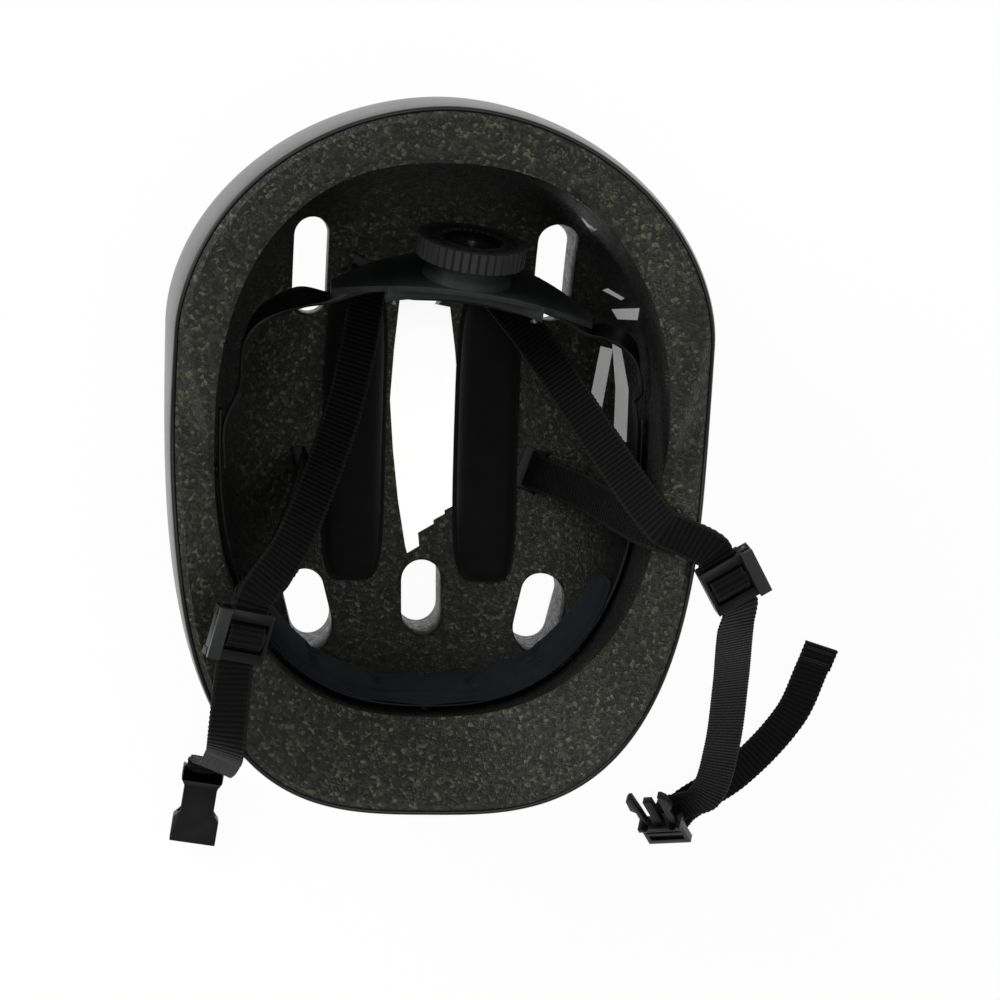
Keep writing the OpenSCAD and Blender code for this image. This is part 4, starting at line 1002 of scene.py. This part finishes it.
tail = paths["tail_fold"]
tail_seam = [spot for quarter in (1, 3) for spot in bar_tack(tail, quarter * len(tail) // 4, 6.2)]
dress(bars("tail_stitches", tail_seam, 1.5, 0.42, 0.32, thread), "right_strap", thread, "webbing")
back_seam = seam(fold_path, (-5.6, 5.6))
for index in (3, len(fold_path) - 4):
    back_seam += bar_tack(fold_path, index, 5.4)
dress(bars("turn_back_stitches", back_seam, 1.7, 0.42, 0.32, thread), "left_strap", thread, "webbing")

# Marks that the steam nozzles of the mould leave in the foam, at these pixels of the photograph
nozzle_marks = (
    (433, 133), (365, 145), (305, 172), (250, 220), (555, 155), (608, 195), (660, 290), (672, 330),
    (667, 380), (293, 745), (377, 755), (335, 785), (415, 795), (600, 690), (360, 630), (405, 640),
    (440, 665), (388, 670))


def foam_surface():
    """Finds the liner's inner face and rim along a ray of the photograph."""
    liner = bpy.data.objects["liner"]
    tree = BVHTree.FromPolygons([v.co for v in liner.data.vertices],
                                [p.vertices for p in liner.data.polygons])

    def hit(px, py):
        place, normal, _, _ = tree.ray_cast(Vector(eye * MM), Vector(sight(px, py)))
        return None if place is None else (np.array(place) / MM, np.array(normal))
    return hit


foam_at = foam_surface()


def nozzle_spots():
    spots = []
    for px, py in nozzle_marks:
        found = foam_at(px, py)
        if found is None:
            continue
        p, n = found
        if n[2] < 0:
            n = -n
        x = unit(np.cross(n, (0.3, 1, 0)))
        y = np.cross(n, x)
        for ring, count in ((0, 1), (1.7, 6), (3.3, 12)):
            for i in range(count):
                a = 360 * i / count
                spots.append((p + x * ring * cosd(a) + y * ring * sind(a), x, n))
    return spots


mark_foam = moulded("pressed_foam_skin", "#3d3d39", "#55554f", 0.5, 0.8, 0.05)
dress(bars("nozzle_marks", nozzle_spots(), 0.95, 0.95, 0.35, mark_foam), "helmet", mark_foam, "liner_foam")


# Blank labels
def crown_notch(x, y):
    """The torn lower end of the crown label, in pixels of the photograph."""
    return (x > 420 and y > 536 - 0.9 * (x - 420)) or y > 553


floor_lift, foam_lift = 0.22, 0.25


def over_floor(px, py):
    """Just above the smooth rule of the liner's inner face, for the wide crown label."""
    p = on_liner(px, py)
    return p + liner_normal(p) * floor_lift


def over_foam(px, py):
    """Just above the foam's mesh, for labels on its walls, or None where the foam doesn't show."""
    found = foam_at(px, py)
    return found and found[0] + (found[1] if np.dot(found[1], back) > 0 else -found[1]) * foam_lift


def edge_at(edge, k):
    """The place at share k of an edge, as a pixel of the photograph."""
    f = k * (len(edge) - 1)
    i = min(int(f), len(edge) - 2)
    return mix(vec(*edge[i]), vec(*edge[i + 1]), f - i)


def label(name, left, right, material, laid=over_foam, thickness=0.12, columns=6, rows=16, torn=None):
    """Sheet between a left and a right edge, given as pixels of the photograph, laid on the foam."""
    pixels = [mix(edge_at(left, j / rows), edge_at(right, j / rows), i / columns)
              for j in range(rows + 1) for i in range(columns + 1)]
    points = [laid(*q) for q in pixels]
    if any(p is None for p in points):
        return
    cells = [(k, k + columns + 1, k + columns + 2, k + 1)
             for k in (j * (columns + 1) + i for j in range(rows) for i in range(columns))]
    whole = [c for c in cells if torn is None or not any(torn(*pixels[k]) for k in c)]
    obj = mesh_object(name, points, whole)
    m = obj.modifiers.new("thick", "SOLIDIFY")
    m.thickness, m.offset = thickness * MM, 0
    apply_modifiers(obj)
    shade(obj, 35)
    dress(obj, "helmet", material, "liner_foam")


# The crown label's paper glows: painted light that keeps it near white in the shaded crown
label("crown_label", [(400, 297), (394, 350), (390, 400), (393, 450), (398, 500), (405, 545), (407, 553)],
      [(450, 307), (455, 350), (459, 400), (459, 440), (459, 480), (458, 513), (455, 525)],
      paper, over_floor, 0.15, 24, 60, crown_notch)
# Small blank labels on the right wall and a dark lacquered one near the nape, by their corners in the photo
label("number_label", [(601, 346), (588, 411)], [(613, 349), (601, 415)], faint_glow_paper)
label("care_label", [(612, 334), (616, 388), (614, 440)], [(620, 338), (629, 390), (627, 442)], faint_glow_paper)
label("tab_label_upper", [(603, 290), (622, 300)], [(608, 288), (625, 298)], faint_glow_paper)
label("tab_label_lower", [(612, 309), (618, 319)], [(640, 308), (638, 320)], faint_glow_paper)
label("lacquered_label", [(566, 196), (592, 232)], [(577, 192), (604, 226)], lacquer)


# Floor, light and background
def backdrop():
    """Plain pale floor with a low round wall, white to the camera, that keeps the helmet's soft shadow."""
    count, radius, wall, drop = 64, 12, 3, 0.0004
    ring = [(radius * cosd(360 * i / count), radius * sind(360 * i / count)) for i in range(count)]
    points = [(x, y, -drop) for x, y in ring] + [(x, y, wall) for x, y in ring]
    sides = [(i, count + i, count + (i + 1) % count, (i + 1) % count) for i in range(count)]
    mesh = bpy.data.meshes.new("floor")
    mesh.from_pydata(points, [], [tuple(range(count))] + sides)
    floor = into_scene("floor", mesh)
    material, tree = bare_material("pale_floor")
    matt = add(tree, "ShaderNodeBsdfDiffuse", {"Color": colour("#f4f4f3")})
    glow = add(tree, "ShaderNodeEmission", {"Color": (1, 1, 1, 1), "Strength": 1.06})
    path = add(tree, "ShaderNodeLightPath")
    through = add(tree, MATH, {0: path.outputs["Is Camera Ray"], 1: path.outputs["Is Transmission Ray"]},
                  {"operation": "MAXIMUM"})
    seen = add(tree, MATH, {0: through, 1: path.outputs["Is Glossy Ray"]}, {"operation": "MAXIMUM"})
    share = add(tree, MATH, {0: seen, 1: 0.9}, TIMES)
    both = add(tree, "ShaderNodeMixShader", {"Fac": share, 1: matt, 2: glow})
    add(tree, "ShaderNodeOutputMaterial", {"Surface": both})
    paint(floor, material)


def lamp(name, at, size, power, target=(0, 0, 0.08)):
    light = bpy.data.lights.new(name, "AREA")
    light.shape, light.size, light.energy = "SQUARE", size, power
    obj = into_scene(name, light)
    way = Vector(target) - Vector(at)
    obj.matrix_world = Matrix.Translation(at) @ way.to_track_quat("-Z", "Y").to_matrix().to_4x4()


backdrop()
lamp("key_softbox", (-1.3, 1.0, 1.0), 1.0, 11.5)
lamp("fill_softbox", (1.3, -0.3, 1.0), 1.0, 1.2)
lamp("top_softbox", (0.0, 0.0, 2.0), 1.2, 5.5)
world = bpy.data.worlds.new("studio")
bpy.context.scene.world = world
world.use_nodes = True
sky = world.node_tree
sky.nodes.clear()
daylight = add(sky, "ShaderNodeBackground", {"Color": (1, 1, 1, 1), "Strength": 0.2})
add(sky, "ShaderNodeOutputWorld", {"Surface": daylight})
bpy.context.scene.view_settings.view_transform = "Standard"
